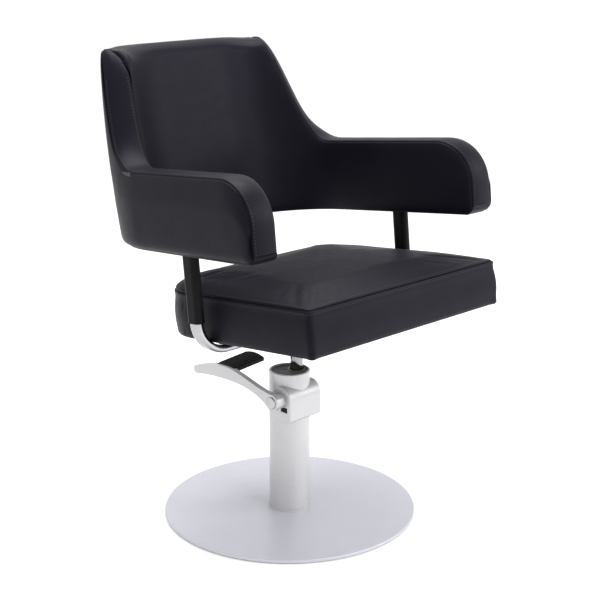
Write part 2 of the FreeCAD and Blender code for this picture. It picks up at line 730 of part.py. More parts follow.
def shell_outer_pad():
    """Padding on the outside, hollowed where the uprights and their brackets run up inside it."""
    pad = shell_layer(outer_profile)
    for side in (-1, 1):
        x0, x1 = sorted((side * 268.0, side * POCKET_OUTER_X))
        pad = pad.cut(block(x0, x1, TUBE_Y - 34, TUBE_Y + 34, SHELL_BOTTOM - 5, TUBE_TOP + 18))
    return placed(pad)


def plan_strip(inset, z0, z1):
    """Flat strip that follows the shell's underside, inset from both of its faces."""
    def side_edges(depth, side):
        front = arm_station(SHELL_FRONT + FRONT_LOW_R).point(depth, SHELL_BOTTOM, side)
        tangent = arm_station(TANGENT_Y).point(depth, SHELL_BOTTOM, side)
        middle = corner_station(45.0).point(depth, SHELL_BOTTOM, side)
        back = corner_station(90.0).point(depth, SHELL_BOTTOM, side)
        return front, tangent, middle, back
    outline = []
    ends = []
    for depth in (inset, SHELL_THICK - inset):
        right = side_edges(depth, -1)
        left = side_edges(depth, 1)
        outline += [Part.LineSegment(right[0], right[1]), Part.Arc(right[1], right[2], right[3]),
                    Part.LineSegment(right[3], left[3]), Part.Arc(left[3], left[2], left[1]),
                    Part.LineSegment(left[1], left[0])]
        ends.append((right[0], left[0]))
    outline += [Part.LineSegment(ends[0][0], ends[1][0]), Part.LineSegment(ends[0][1], ends[1][1])]
    edges = Part.__sortEdges__([edge.toShape() for edge in outline])
    strip = Part.Face(Part.Wire(edges)).extrude(vec(0, 0, z1 - z0))
    strip.translate(vec(0, 0, z0 - SHELL_BOTTOM))
    return strip


def shell_bottom_strip():
    """Trim strip under the shell with a slot for each upright."""
    z0 = SHELL_BOTTOM - 2.0
    strip = plan_strip(4.0, z0, SHELL_BOTTOM)
    for side in (-1, 1):
        slot = flat_oval(vec(side * TUBE_HALF_SPAN, TUBE_Y, z0), X_AXIS, Y_AXIS, TUBE_THIN + 1, TUBE_LONG + 1)
        strip = strip.cut(slot.extrude(vec(0, 0, 2.0)))
    return placed(strip)


BRACKET_OUTER_X = TUBE_HALF_SPAN - TUBE_THIN / 2
BRACKET_HALF = 28.0
BRACKET_Z0 = 196.0
BRACKET_Z1 = 290.0


def core_outer_x(y):
    return arm_inner_x(y) + CORE_DEPTH * SPLAY_LENGTH


def arm_bracket(side):
    """Wedge plate that takes up the arm's splay between the core and the upright."""
    y0 = TUBE_Y - BRACKET_HALF
    y1 = TUBE_Y + BRACKET_HALF
    plan = [vec(core_outer_x(y0), y0, BRACKET_Z0), vec(BRACKET_OUTER_X, y0, BRACKET_Z0),
            vec(BRACKET_OUTER_X, y1, BRACKET_Z0), vec(core_outer_x(y1), y1, BRACKET_Z0),
            vec(core_outer_x(y0), y0, BRACKET_Z0)]
    wedge = Part.Face(Part.makePolygon(plan)).extrude(vec(0, 0, BRACKET_Z1 - BRACKET_Z0))
    wedge = wedge.cut(group(screw_solids(sides=(1,))))
    return placed(wedge if side > 0 else mirrored(wedge))


def screw_solids(sides=(-1, 1)):
    """Screws from the bracket into the core, four to an arm."""
    screws = []
    for side in sides:
        for y in (TUBE_Y - 22.5, TUBE_Y + 22.5):
            for z in (BRACKET_Z0 + 12, BRACKET_Z1 - 12):
                start = vec(side * BRACKET_OUTER_X, y, z)
                head = Part.makeCylinder(5.0, 3.5, start, vec(side, 0, 0))
                shank = Part.makeCylinder(2.5, 12.5, start, vec(-side, 0, 0))
                screws.append(head.fuse(shank).removeSplitter())
    return screws


def arm_screws():
    return placed(group(screw_solids()))


TAG_ANGLES = (7.0, 11.0, 15.5)  # degrees round the rear corner
TAG_Z = 326.0
TAG_HEIGHT = 10.5
TAG_THICK = 1.2
TAG_GAP = 0.4                   # stands off the cover's weave


def side_tag():
    """Small plain tab on the outside of the shell, on the sitter's right."""
    sections = []
    for degrees in TAG_ANGLES:
        station = corner_station(degrees)
        back = SHELL_THICK + TAG_GAP
        front = back + TAG_THICK
        places = [(back, TAG_Z), (back, TAG_Z + TAG_HEIGHT), (front, TAG_Z + TAG_HEIGHT), (front, TAG_Z)]
        points = [station.point(depth, z, -1) for depth, z in places]
        sections.append(Part.makePolygon(points + points[:1]))
    return placed(Part.makeLoft(sections, True, True))


# ---------------------------------------------------------------- seat
SEAT_REAR_CORNER_R = 110.0
SEAT_FRONT_CORNER_R = 10.0


def seat_outline(inset, z):
    """Closed plan outline: nearly square front corners, large round rear corners."""
    x = SEAT_HALF_WIDTH - inset
    front = SEAT_FRONT + inset
    rear = SEAT_REAR - inset
    corners = [(x, front, SEAT_FRONT_CORNER_R, -45), (x, rear, max(SEAT_REAR_CORNER_R - inset, 15.0), 45),
               (-x, rear, max(SEAT_REAR_CORNER_R - inset, 15.0), 135), (-x, front, SEAT_FRONT_CORNER_R, 225)]
    arcs = []
    for cx, cy, radius, middle in corners:
        centre = vec(cx - math.copysign(radius, cx), cy - math.copysign(radius, cy - (front + rear) / 2), z)
        points = [centre + vec(radius * math.cos(math.radians(middle + step)),
                               radius * math.sin(math.radians(middle + step)), 0) for step in (-45, 0, 45)]
        arcs.append(points)
    edges = []
    for i, points in enumerate(arcs):
        edges.append(Part.Arc(*points).toShape())
        edges.append(Part.LineSegment(points[2], arcs[(i + 1) % 4][0]).toShape())
    return Part.Wire(edges)


def seat_slab(inset, z0, z1):
    return Part.Face(seat_outline(inset, z0)).extrude(vec(0, 0, z1 - z0))


def seat_cushion():
    """Foam cushion with a crowned top and a pocket below for the board."""
    levels = [(6.0, SEAT_BOTTOM), (0.0, SEAT_BOTTOM + 6), (0.0, SEAT_SEAM - 4), (4.0, SEAT_SEAM + 3),
              (24.0, SEAT_SEAM + 0.60 * SEAT_CROWN), (62.0, SEAT_SEAM + 0.87 * SEAT_CROWN),
              (110.0, SEAT_SEAM + 0.97 * SEAT_CROWN), (150.0, SEAT_SEAM + SEAT_CROWN)]
    cushion = Part.makeLoft([seat_outline(inset, z) for inset, z in levels], True, True)
    cushion = cushion.cut(seat_slab(14.0, SEAT_BOTTOM, BOARD_Z1))
    for x, y in bolt_places():
        cushion = cushion.cut(rod(12.0, BOARD_Z1, BOARD_Z1 + 4.0, x, y))
    return placed(cushion)


def seat_board():
    board = seat_slab(14.0, BOARD_Z0, BOARD_Z1)
    for x, y in bolt_places():
        board = board.cut(rod(BOLT_R, BOARD_Z0, BOARD_Z0 + 2.0, x, y))
        board = board.cut(rod(5.5, BOARD_Z0 + 2.0, BOARD_Z1, x, y))
    return placed(board)


def seat_dust_cover():
    cover = seat_slab(14.0, SEAT_BOTTOM, BOARD_Z0)
    for x, y in bolt_places():
        cover = cover.cut(rod(BOLT_R, SEAT_BOTTOM, BOARD_Z0, x, y))
    return placed(cover)


# ---------------------------------------------------------------- nodes
def build():
    return {
        "base_mat": rod(BASE_MAT_R, 0.0, MAT_THICK),
        "base_disc": base_disc(),
        "disc_screws": disc_screws(),
        "pump_foot": pump_foot(),
        "foot_ring": ring(COLUMN_R + 2.0, COLUMN_R, DISC_TOP, DISC_TOP + 5.0),
        "pump_body": pump_body(),
        "stop_bumper": stop_bumper(),
        "pressure_tube": pressure_tube(),
        "tube_spacer": tube_spacer(),
        "top_cap": top_cap(),
        "oil_filler_screw": oil_filler_screw(),
        "ram_gland": ram_gland(),
        "wiper_seal": wiper_seal(),
        "pump_barrel": pump_barrel(),
        "plunger": plunger(),
        "plunger_spring": plunger_spring(),
        "return_spring": return_spring(),
        "shaft_bush": shaft_bush(),
        "piston_head": piston_head(),
        "piston_seal": piston_seal(),
        "pedal_shaft": pedal_shaft(),
        "shaft_circlip": shaft_circlip(),
        "pedal_hub": pedal_hub(),
        "hub_set_screw": hub_set_screw(),
        "hub_cap": hub_cap(),
        "pump_rocker": pump_rocker(),
        "pedal_arm": pedal_arm(),
        "pedal_plate": pedal_plate(),
        "pedal_pad": pedal_pad(),
        "pedal_rivets": rivet_shapes(),
        "ram_rod": ram_rod(),
        "rod_circlip": rod_circlip(),
        "taper_socket": taper_socket(),
        "socket_ribs": socket_ribs(),
        "mount_plate": mount_plate(),
        "seat_bolts": seat_bolts(),
        "seat_tee_nuts": seat_tee_nuts(),
        "frame_tube": frame_tube(),
        "post_sleeve_left": post_sleeve(1),
        "post_sleeve_right": post_sleeve(-1),
        "arm_bracket_left": arm_bracket(1),
        "arm_bracket_right": arm_bracket(-1),
        "arm_screws": arm_screws(),
        "shell_core": shell_core(),
        "shell_inner_pad": shell_inner_pad(),
        "shell_outer_pad": shell_outer_pad(),
        "shell_bottom_strip": shell_bottom_strip(),
        "side_tag": side_tag(),
        "seat_board": seat_board(),
        "seat_dust_cover": seat_dust_cover(),
        "seat_cushion": seat_cushion(),
    }


os.makedirs("parts", exist_ok=True)
for node, shape in build().items():
    shape.exportStep("parts/" + node + ".step")
    state = "valid" if shape.isValid() else "INVALID"
    print(f"{node:20s} {state}  solids {len(shape.Solids)}  volume {shape.Volume / 1000:9.1f} cm3")
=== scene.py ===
"""Looks of the styling chair: leatherette covers, stitching, metals, rubber, studio and camera.

Everything is in metres in the row frame. Upholstery is worked out in the seat frame, whose origin lies
on the ram's axis and which leans back, and is then moved into the row frame by to_row().
"""
import json
import math
import bmesh
import bpy
import numpy as np
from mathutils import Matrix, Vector, noise
from mathutils.bvhtree import BVHTree
from mathutils.kdtree import KDTree


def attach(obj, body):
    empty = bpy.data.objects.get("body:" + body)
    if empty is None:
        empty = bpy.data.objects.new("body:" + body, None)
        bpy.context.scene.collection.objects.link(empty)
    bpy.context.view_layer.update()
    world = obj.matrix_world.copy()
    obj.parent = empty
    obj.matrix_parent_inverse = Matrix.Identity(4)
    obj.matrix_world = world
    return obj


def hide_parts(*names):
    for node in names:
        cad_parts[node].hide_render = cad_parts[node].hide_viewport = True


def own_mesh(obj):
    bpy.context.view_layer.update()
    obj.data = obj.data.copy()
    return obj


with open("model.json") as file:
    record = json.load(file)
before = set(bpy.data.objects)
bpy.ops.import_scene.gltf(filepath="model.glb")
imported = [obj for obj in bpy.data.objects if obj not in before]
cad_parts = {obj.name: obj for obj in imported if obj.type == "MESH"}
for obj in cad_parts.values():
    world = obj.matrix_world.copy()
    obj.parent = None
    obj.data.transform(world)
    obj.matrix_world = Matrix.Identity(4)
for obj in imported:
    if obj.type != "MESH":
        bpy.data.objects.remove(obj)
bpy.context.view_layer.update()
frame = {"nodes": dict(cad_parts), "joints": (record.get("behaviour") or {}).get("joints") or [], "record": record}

# ---------------------------------------------------------------- driving dimensions, metres
RAM_X = next(j for j in frame["joints"] if j["name"] == "seat_swivel")["pos_m"][0]
SEAT_PIVOT_Z = 0.404
SEAT_TILT = math.radians(6.0)

SHELL_BOTTOM = 0.1905
ARM_TOP = 0.338
BACK_TOP = 0.568
BACK_SHOULDER = 0.557
SHELL_THICK = 0.060
SHELL_HALF_WIDTH = 0.2436
SHELL_SPLAY = 0.09
SHELL_FRONT = -0.252
SHELL_CORNER_R = 0.160
SHELL_CORNER_Y = 0.072
RECLINE = 0.10
FRONT_ROUND_R = 0.084
FRONT_LOW_R = 0.015
POST_Y = -0.038

SEAT_HALF_WIDTH = 0.260
SEAT_FRONT = -0.3115
SEAT_REAR = 0.130
SEAT_BOTTOM = 0.0155
SEAT_SEAM = 0.104
SEAT_CROWN = 0.022
SEAT_REAR_CORNER_R = 0.110


# ---------------------------------------------------------------- helpers
def to_row(points):
    """Seat-frame points to the row frame."""
    p = np.atleast_2d(np.asarray(points, float))
    c = math.cos(SEAT_TILT)
    s = math.sin(SEAT_TILT)
    return np.stack([RAM_X + p[:, 0],
                     p[:, 1] * c + p[:, 2] * s,
                     SEAT_PIVOT_Z - p[:, 1] * s + p[:, 2] * c], 1)


def smoothstep(t):
    t = np.clip(t, 0.0, 1.0)
    return t * t * (3 - 2 * t)


def mesh_object(name, verts, faces, smooth=True):
    mesh = bpy.data.meshes.new(name)
    mesh.from_pydata([tuple(v) for v in verts], [], faces)
    mesh.validate()
    obj = bpy.data.objects.new(name, mesh)
    bpy.context.scene.collection.objects.link(obj)
    if smooth:
        mesh.polygons.foreach_set("use_smooth", [True] * len(mesh.polygons))
    return obj


def outward(obj):
    """Make all faces of a closed mesh point outwards."""
    bm = bmesh.new()
    bm.from_mesh(obj.data)
    bmesh.ops.recalc_face_normals(bm, faces=bm.faces)
    bm.to_mesh(obj.data)
    bm.free()
    return obj


def place(obj, body, material):
    obj.data.materials.clear()
    obj.data.materials.append(material)
    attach(obj, body)
    return obj


def resample(points, spacing):
    """Points spaced evenly along a polyline."""
    p = np.asarray(points, float)
    run = np.concatenate([[0], np.cumsum(np.linalg.norm(np.diff(p, axis=0), axis=1))])
    count = max(int(round(run[-1] / spacing)), 2)
    at = np.linspace(0, run[-1], count + 1)
    return np.stack([np.interp(at, run, p[:, k]) for k in range(3)], 1)


# ---------------------------------------------------------------- materials
class Nodes:
    """Short calls for building a node material."""

    def __init__(self, name):
        self.material = bpy.data.materials.new(name)
        self.material.use_nodes = True
        self.tree = self.material.node_tree
        self.shader = self.tree.nodes["Principled BSDF"]
        self.coords = self.tree.nodes.new("ShaderNodeTexCoord").outputs["Object"]

    def link(self, a, b):
        self.tree.links.new(a, b)

    def noise(self, scale, detail=3.0, roughness=0.55, stretch=(1, 1, 1)):
        node = self.tree.nodes.new("ShaderNodeTexNoise")
        node.inputs["Scale"].default_value = scale
        node.inputs["Detail"].default_value = detail
        node.inputs["Roughness"].default_value = roughness
        mapping = self.tree.nodes.new("ShaderNodeMapping")
        mapping.inputs["Scale"].default_value = stretch
        self.link(self.coords, mapping.inputs["Vector"])
        self.link(mapping.outputs["Vector"], node.inputs["Vector"])
        return node.outputs["Fac"]

    def voronoi(self, scale, feature="SMOOTH_F1"):
        node = self.tree.nodes.new("ShaderNodeTexVoronoi")
        node.feature = feature
        node.inputs["Scale"].default_value = scale
        self.link(self.coords, node.inputs["Vector"])
        return node.outputs["Distance"]

    def spread(self, value, low, high, from_low=0.3, from_high=0.7):
        """Map a 0 to 1 pattern onto a range."""
        node = self.tree.nodes.new("ShaderNodeMapRange")
        node.inputs["From Min"].default_value = from_low
        node.inputs["From Max"].default_value = from_high
        node.inputs["To Min"].default_value = low
        node.inputs["To Max"].default_value = high
        self.link(value, node.inputs["Value"])
        return node.outputs["Result"]

    def colours(self, value, stops):
        node = self.tree.nodes.new("ShaderNodeValToRGB")
        ramp = node.color_ramp
        while len(ramp.elements) < len(stops):
            ramp.elements.new(0.5)
        for element, (at, colour) in zip(ramp.elements, stops):
            element.position = at
            element.color = (*colour, 1)
        self.link(value, node.inputs["Fac"])
        return node.outputs["Color"]

    def attribute(self, name):
        """A value stored on the mesh, 0 where the mesh has none."""
        node = self.tree.nodes.new("ShaderNodeAttribute")
        node.attribute_name = name
        return node.outputs["Fac"]

    def darkened(self, colour, share, most):
        """Colour that falls towards black, at most by a share, as a pattern goes from 0 to 1."""
        node = self.tree.nodes.new("ShaderNodeMix")
        node.data_type = "RGBA"
        colour_a = next(i for i in node.inputs if i.name == "A" and i.type == "RGBA")
        colour_b = next(i for i in node.inputs if i.name == "B" and i.type == "RGBA")
        colour_b.default_value = (0, 0, 0, 1)
        self.link(self.spread(share, 0.0, most, from_low=0.0, from_high=1.0), node.inputs["Factor"])
        self.link(colour, colour_a)
        return next(o for o in node.outputs if o.type == "RGBA")

    def bump(self, height, distance, strength, below=None):
        node = self.tree.nodes.new("ShaderNodeBump")
        node.inputs["Distance"].default_value = distance
        node.inputs["Strength"].default_value = strength
        self.link(height, node.inputs["Height"])
        if below is not None:
            self.link(below, node.inputs["Normal"])
        return node.outputs["Normal"]

    def set(self, **values):
        for name, value in values.items():
            socket = self.shader.inputs[name.replace("_", " ")]
            if hasattr(value, "is_linked"):
                self.link(value, socket)
            else:
                socket.default_value = value
        return self


def leatherette(name, dark, light, grain=1100.0):
    """Leatherette: fine pebble grain, slow colour and gloss variation, and painted shade along the seams, where it
    is darker and duller.
    """
    n = Nodes(name)
    pebble = n.voronoi(grain)
    slow = n.noise(scale=9.0, detail=4.0)
    crease = n.noise(scale=320.0, detail=5.0, roughness=0.6)
    normal = n.bump(pebble, distance=0.00018, strength=0.35)
    normal = n.bump(crease, distance=0.00012, strength=0.30, below=normal)
    normal = n.bump(n.noise(scale=26.0), distance=0.0008, strength=0.10, below=normal)
    # Painted shade along the seams: the base colour darkens by up to 85 percent and the specular level falls where
    # the seam attribute is high.
    seam = n.attribute("seam")
    n.set(Base_Color=n.darkened(n.colours(slow, [(0.35, dark), (0.65, light)]), seam, most=0.85),
          Roughness=n.spread(n.noise(scale=60.0, detail=4.0), low=0.43, high=0.49), Normal=normal)
    n.set(Specular_IOR_Level=n.spread(seam, low=0.12, high=0.01, from_low=0.0, from_high=1.0),
          Specular_Tint=(0.86, 0.84, 1.0, 1.0), Sheen_Weight=0.01, Sheen_Roughness=0.5)
    return n.material


def thread(name, colour):
    """Twisted sewing thread."""
    n = Nodes(name)
    shaded = tuple(c * 0.6 for c in colour)
    n.set(Base_Color=n.colours(n.noise(scale=2500.0, detail=2.0), [(0.3, shaded), (0.7, colour)]),
          Roughness=0.55, Normal=n.bump(n.noise(scale=4000.0, detail=2.0), distance=0.0001, strength=0.5))
    return n.material


def chrome(name, dark, light):
    """Polished chrome with faint wipe marks."""
    n = Nodes(name)
    n.set(Base_Color=n.colours(n.noise(scale=14.0), [(0.3, dark), (0.7, light)]), Metallic=1.0,
          Roughness=n.spread(n.noise(scale=90.0, detail=5.0, roughness=0.7), low=0.05, high=0.13),
          Normal=n.bump(n.noise(scale=30.0, detail=2.0), distance=0.0004, strength=0.05))
    return n.material


def satin_steel(name, dark, light, rough_low, rough_high, stretch=(1, 1, 1)):
    """Machined or satin metal with fine directional marks."""
    n = Nodes(name)
    marks = n.noise(scale=240.0, detail=6.0, roughness=0.7, stretch=stretch)
    n.set(Base_Color=n.colours(n.noise(scale=7.0, detail=4.0), [(0.3, dark), (0.7, light)]), Metallic=1.0,
          Roughness=n.spread(marks, rough_low, rough_high),
          Normal=n.bump(marks, distance=0.00004, strength=0.35))
    return n.material


def hammer_paint(name, dark, light, metallic=0.35):
    """Silver-grey paint with metal flake and slight orange peel."""
    n = Nodes(name)
    flake = n.voronoi(1500.0, "F1")
    peel = n.noise(scale=420.0, roughness=0.5)
    normal = n.bump(peel, distance=0.00015, strength=0.25)
    normal = n.bump(flake, distance=0.00006, strength=0.30, below=normal)
    n.set(Base_Color=n.colours(flake, [(0.1, dark), (0.6, light)]), Metallic=metallic,
          Roughness=n.spread(n.noise(scale=35.0, detail=4.0), low=0.34, high=0.46), Normal=normal)
    return n.material


def dark_paint(name, dark, light):
    """Satin powder coat with a fine texture and rubbed spots."""
    n = Nodes(name)
    n.set(Base_Color=n.colours(n.noise(scale=18.0, detail=5.0), [(0.35, dark), (0.7, light)]), Metallic=0.0,
          Roughness=n.spread(n.noise(scale=70.0, detail=4.0), low=0.38, high=0.5),
          Normal=n.bump(n.noise(scale=900.0), distance=0.00012, strength=0.4), Specular_IOR_Level=0.10)
    return n.material


def rubber(name, dark, light):
    """Matt rubber with dust in its pores."""
    n = Nodes(name)
    dust = n.noise(scale=120.0, detail=5.0, roughness=0.65)
    n.set(Base_Color=n.colours(dust, [(0.4, dark), (0.75, light)]),
          Roughness=n.spread(n.noise(scale=200.0), low=0.62, high=0.8),
          Normal=n.bump(n.noise(scale=1600.0), distance=0.0002, strength=0.5), Specular_IOR_Level=0.2)
    return n.material


def plywood(name, dark, light):
    """Moulded plywood: stretched veneer grain."""
    n = Nodes(name)
    grain = n.noise(scale=30.0, detail=6.0, roughness=0.6, stretch=(1, 12, 12))
    n.set(Base_Color=n.colours(grain, [(0.3, dark), (0.7, light)]),
          Roughness=n.spread(grain, low=0.55, high=0.7),
          Normal=n.bump(grain, distance=0.0003, strength=0.4))
    return n.material


def woven(name, dark, light):
    """Thin non-woven cloth."""
    n = Nodes(name)
    fibre = n.noise(scale=700.0, detail=6.0, roughness=0.75, stretch=(1, 3, 1))
    n.set(Base_Color=n.colours(fibre, [(0.35, dark), (0.7, light)]), Roughness=0.9,
          Normal=n.bump(fibre, distance=0.0002, strength=0.5), Sheen_Weight=0.15)
    return n.material


ALONG_AXIS = (1, 1, 14)         # stretch of the marks that turning leaves

# Each has a dark and a light colour. The steels and bronze then have their lowest and highest roughness.
LEATHER = leatherette("leatherette_black", (0.0024, 0.0022, 0.0052), (0.0036, 0.0033, 0.0070))
LEATHER_TAG = leatherette("leatherette_tag", (0.030, 0.030, 0.034), (0.055, 0.055, 0.060), grain=2200.0)
THREAD = thread("thread_black", (0.010, 0.0097, 0.0125))
CHROME = chrome("bright_chrome", (0.34, 0.34, 0.355), (0.42, 0.42, 0.435))
# Darker copy of the bright chrome, given to the ram rod: painted shade.
RAM_CHROME_PAINTED_SHADE = chrome("ram_chrome", (0.20, 0.20, 0.215), (0.27, 0.27, 0.285))
DISC = hammer_paint("disc_silver_paint", (0.47, 0.47, 0.52), (0.52, 0.52, 0.575), metallic=0.30)
ZINC = satin_steel("zinc_steel", (0.42, 0.42, 0.42), (0.55, 0.55, 0.55), 0.30, 0.45)
TURNED = satin_steel("turned_steel", (0.40, 0.40, 0.41), (0.52, 0.52, 0.53), 0.22, 0.40, stretch=ALONG_AXIS)
SPRING = satin_steel("spring_steel", (0.25, 0.25, 0.26), (0.38, 0.38, 0.39), 0.30, 0.45)
BRONZE = satin_steel("turned_bronze", (0.45, 0.30, 0.14), (0.60, 0.42, 0.20), 0.25, 0.42, stretch=ALONG_AXIS)
SILVER = hammer_paint("silver_paint", (0.41, 0.41, 0.42), (0.52, 0.52, 0.53))
CAP_GREY = dark_paint("cap_grey", (0.07, 0.07, 0.075), (0.13, 0.13, 0.135))
BLACK = dark_paint("black_powder_coat", (0.0026, 0.0026, 0.0034), (0.0050, 0.0050, 0.0062))
RUBBER = rubber("black_rubber", (0.006, 0.006, 0.007), (0.016, 0.016, 0.017))
PLY = plywood("plywood", (0.36, 0.22, 0.12), (0.66, 0.48, 0.30))
CLOTH = woven("dust_cloth", (0.010, 0.010, 0.011), (0.030, 0.030, 0.032))

SLOT_MATERIALS = {
    "rubber_black": RUBBER, "disc_steel": DISC, "zinc_steel": ZINC, "pump_paint": SILVER,
    "cap_grey": CAP_GREY, "bright_chrome": CHROME, "turned_steel": TURNED, "spring_steel": SPRING,
    "bronze": BRONZE, "black_paint": BLACK, "plywood": PLY, "upholstery": LEATHER_TAG,
    "foam_pad": LEATHER, "dust_cloth": CLOTH,
}

NODE_MATERIALS = {"ram_rod": RAM_CHROME_PAINTED_SHADE}        # pieces that differ from the rest of their slot: the ram's darker copy of the chrome is painted shade


def dress_cad_nodes():
    """Give every carried-over CAD node its procedural material."""
    slot_of = {s["node"]: s["material_slot"] for s in frame["record"]["subparts"]}
    for name, obj in frame["nodes"].items():
        material = NODE_MATERIALS.get(name, SLOT_MATERIALS[slot_of[name]])
        obj.data.materials.clear()
        obj.data.materials.append(material)


# ---------------------------------------------------------------- stitching
STITCH_SPACING = 0.0065
STITCH_LENGTH = 0.0045
STITCH_RADIUS = 0.00055
STITCH_SINK = 0.0002            # how far a row is pressed into the cover
STITCH_RISE = 0.35              # height of a stitch's middle over the cover, in radii
STITCH_DIVE = 1.2               # how far its ends go down into the cover, in radii
STITCH_FLATNESS = 0.8           # height of its section over the section's width
STITCH_SIDES = 6
STITCH_PROFILE = ((-0.5, 0.35), (-0.3, 0.95), (0.0, 1.0), (0.3, 0.95), (0.5, 0.35))   # place, share of radius
STITCH_INSET = 0.0065           # distance of a row from its seam


def stitch_row(name, path, surface):
    """Short raised stitches along a path, laid on a surface."""
    tree = BVHTree.FromObject(surface, bpy.context.evaluated_depsgraph_get())
    knots = resample(path, STITCH_SPACING)
    verts = []
    faces = []
    sides = STITCH_SIDES
    for a, b in zip(knots[:-1], knots[1:]):
        middle = Vector((a + b) / 2)
        hit, normal, _, _ = tree.find_nearest(middle)
        if hit is None:
            continue
        along = Vector(b - a)
        along -= normal * along.dot(normal)
        along.normalize()
        across = normal.cross(along)
        first = len(verts)
        for share, fullness in STITCH_PROFILE:
            lift = STITCH_RADIUS * STITCH_RISE - STITCH_SINK - STITCH_RADIUS * STITCH_DIVE * (2 * share) ** 4
            centre = hit + along * (share * STITCH_LENGTH) + normal * lift
            for k in range(sides):
                angle = 2 * math.pi * k / sides
                offset = across * math.cos(angle) + normal * (STITCH_FLATNESS * math.sin(angle))
                verts.append(centre + offset * (STITCH_RADIUS * fullness))
        for i in range(len(STITCH_PROFILE) - 1):
            for k in range(sides):
                p = first + i * sides + k
                q = first + i * sides + (k + 1) % sides
                faces.append((p, q, q + sides, p + sides))
        faces.append(tuple(first + k for k in reversed(range(sides))))
        last = first + (len(STITCH_PROFILE) - 1) * sides
        faces.append(tuple(last + k for k in range(sides)))
    return outward(mesh_object(name, verts, faces))


# ---------------------------------------------------------------- seams
SEAM_NEAR = [0.0, 0.0007, 0.0015, 0.0026, 0.0042, 0.0065, 0.0100, 0.0150]    # where points lie beside a seam
SEAM_KNOTS = 0.0008             # spacing of the points that stand for a seam's curve
SEAM_DEPTH = 0.0040
SEAM_WIDTH = 0.0012
SEAM_SHADE = 0.0014             # reach of the painted shade along a seam
RIPPLE_HEIGHT = 0.0005
RIPPLE_FADE = 0.02              # the ripple dies away over this distance from an edge


def swell(distance, height, reach):
    """Height of padding over its seam at a distance from it."""
    return height * (1 - np.exp(-distance / reach))


def groove(distance):
    """How far a seam draws the cover in at a distance from it."""
    return SEAM_DEPTH * np.exp(-(distance / SEAM_WIDTH) ** 2)


def paint_seam_shade(obj, distance):
    """Store how near each point is to a seam, for the painted shade that the leatherette lays along the seams."""
    marks = obj.data.attributes.new("seam", "FLOAT", "POINT")
    marks.data.foreach_set("value", np.exp(-(distance / SEAM_SHADE) ** 2))


def ripple(points, size):
    """Slow unevenness of stretched leatherette."""
    return np.array([noise.noise(Vector(p) / size) for p in points]) * RIPPLE_HEIGHT


# ---------------------------------------------------------------- wrap-around shell
SPLAY_ANGLE = math.atan(SHELL_SPLAY)
TANGENT_Y = SHELL_CORNER_Y + SHELL_CORNER_R * math.sin(SPLAY_ANGLE)
SHELL_CORNER_X = SHELL_HALF_WIDTH - SHELL_SPLAY * TANGENT_Y - SHELL_CORNER_R * math.cos(SPLAY_ANGLE)
RISE_START = math.degrees(SPLAY_ANGLE)
RISE_END = RISE_START + 48.0
RISE_POWER = 1.5
LEAN_END = 45.0                 # degrees round the corner where the wall stops leaning sideways
CORNER_END = 90.0
SQUARE_END_Y = -0.180
SQUARE_BLEND = 0.070

SHELL_MARGIN = 0.0015           # how far inside the pad's faces the cover lies before it is puffed out
COVER_THICK = SHELL_THICK - 2 * SHELL_MARGIN
CROSS_START = 43.5              # degrees round the corner where the inner seam leaves the edge
CROSS_END = 57.0                # and where it meets the outer seam
CROSS_POWER = 1.15
CROSS_POINTS = 24
EDGE_ROUND = 0.0015             # rounding of the top edges along the arms
BACK_ROUND = 0.023              # and of the inner top edge along the back
OUTER_ROUND = 0.006             # most that the outer top edge is rounded
ROUND_START = 39.0              # degrees where the rounding starts to grow
ROUND_REACH = 14.0

FACE_PUFF = 0.0044
BAND_PUFF = 0.0046
UNDER_PUFF = 0.0010
PUFF_REACH = 0.010
BELLY = 0.0062                  # how far the outer face bulges between its lower and upper parts
BELLY_LOW = 0.12                # share of the height where the bulge is full
BELLY_HIGH = 0.6                # and where it starts to fade towards the top
SHELL_RIPPLE = 0.055            # size of the ripples

OUTER_DROP = 0.027              # how much lower the outer top edge runs where the sides climb
DROP_CENTRE = 32.0              # degrees round the corner, as are the centres, starts and reaches below
DROP_REACH = 7.5
DROP_POWER = 1.6                # how the drop grows from the inner face to the outer
SHOULDER_LIFT = 0.0045          # how much higher the shoulders stand than in the design
SHOULDER_CENTRE = 48.0
SHOULDER_REACH = 7.0
CREST_TILT = 0.0110             # how much higher the outer top edge of the back runs
TILT_START = 45.0
TILT_REACH = 11.0
TILT_FADE = 0.7                 # share of the tilt that is gone at the middle of the back
TILT_FADE_START = 66.0
TILT_FADE_REACH = 24.0

ARM_GRID_START = 0.020          # evenly spaced sections start this far behind the arm's front
ARM_SECTIONS = 52
CORNER_SECTIONS = ((RISE_START, 38.0, 36), (38.0, 58.0, 58), (58.0, CORNER_END, 22))   # from, to, count
BACK_SECTIONS = 12
MIDDLE_ROWS = 44                # evenly spaced heights between those near a section's ends
BAND_GRID_START = 0.0185        # evenly spaced points across the band start this far from its seams
BAND_POINTS = 9
FRONT_ZONE = 0.03               # length of the arm's top that counts as its rounded front


class Station:
    """One upright section through the shell wall, on the sitter's left, as in the design."""

    def __init__(self, x, y, normal, lean, low, top, degrees):
        self.x = x
        self.y = y
        self.normal = normal
        self.lean = lean
        self.low = low
        self.top = top
        self.degrees = degrees
        self.drop = OUTER_DROP * math.exp(-((degrees - DROP_CENTRE) / DROP_REACH) ** 2)
        fade = 1 - TILT_FADE * smoothstep((degrees - TILT_FADE_START) / TILT_FADE_REACH)
        self.drop -= CREST_TILT * (smoothstep((degrees - TILT_START) / TILT_REACH) * fade)
        blend = smoothstep((degrees - ROUND_START) / ROUND_REACH)
        self.edge_round = EDGE_ROUND + (BACK_ROUND - EDGE_ROUND) * blend

    def point(self, depth, z):
        rise = z - SHELL_BOTTOM
        x = self.x + self.lean[0] * rise + self.normal[0] * depth
        y = self.y + self.lean[1] * rise + self.normal[1] * depth
        return (x, y, z)


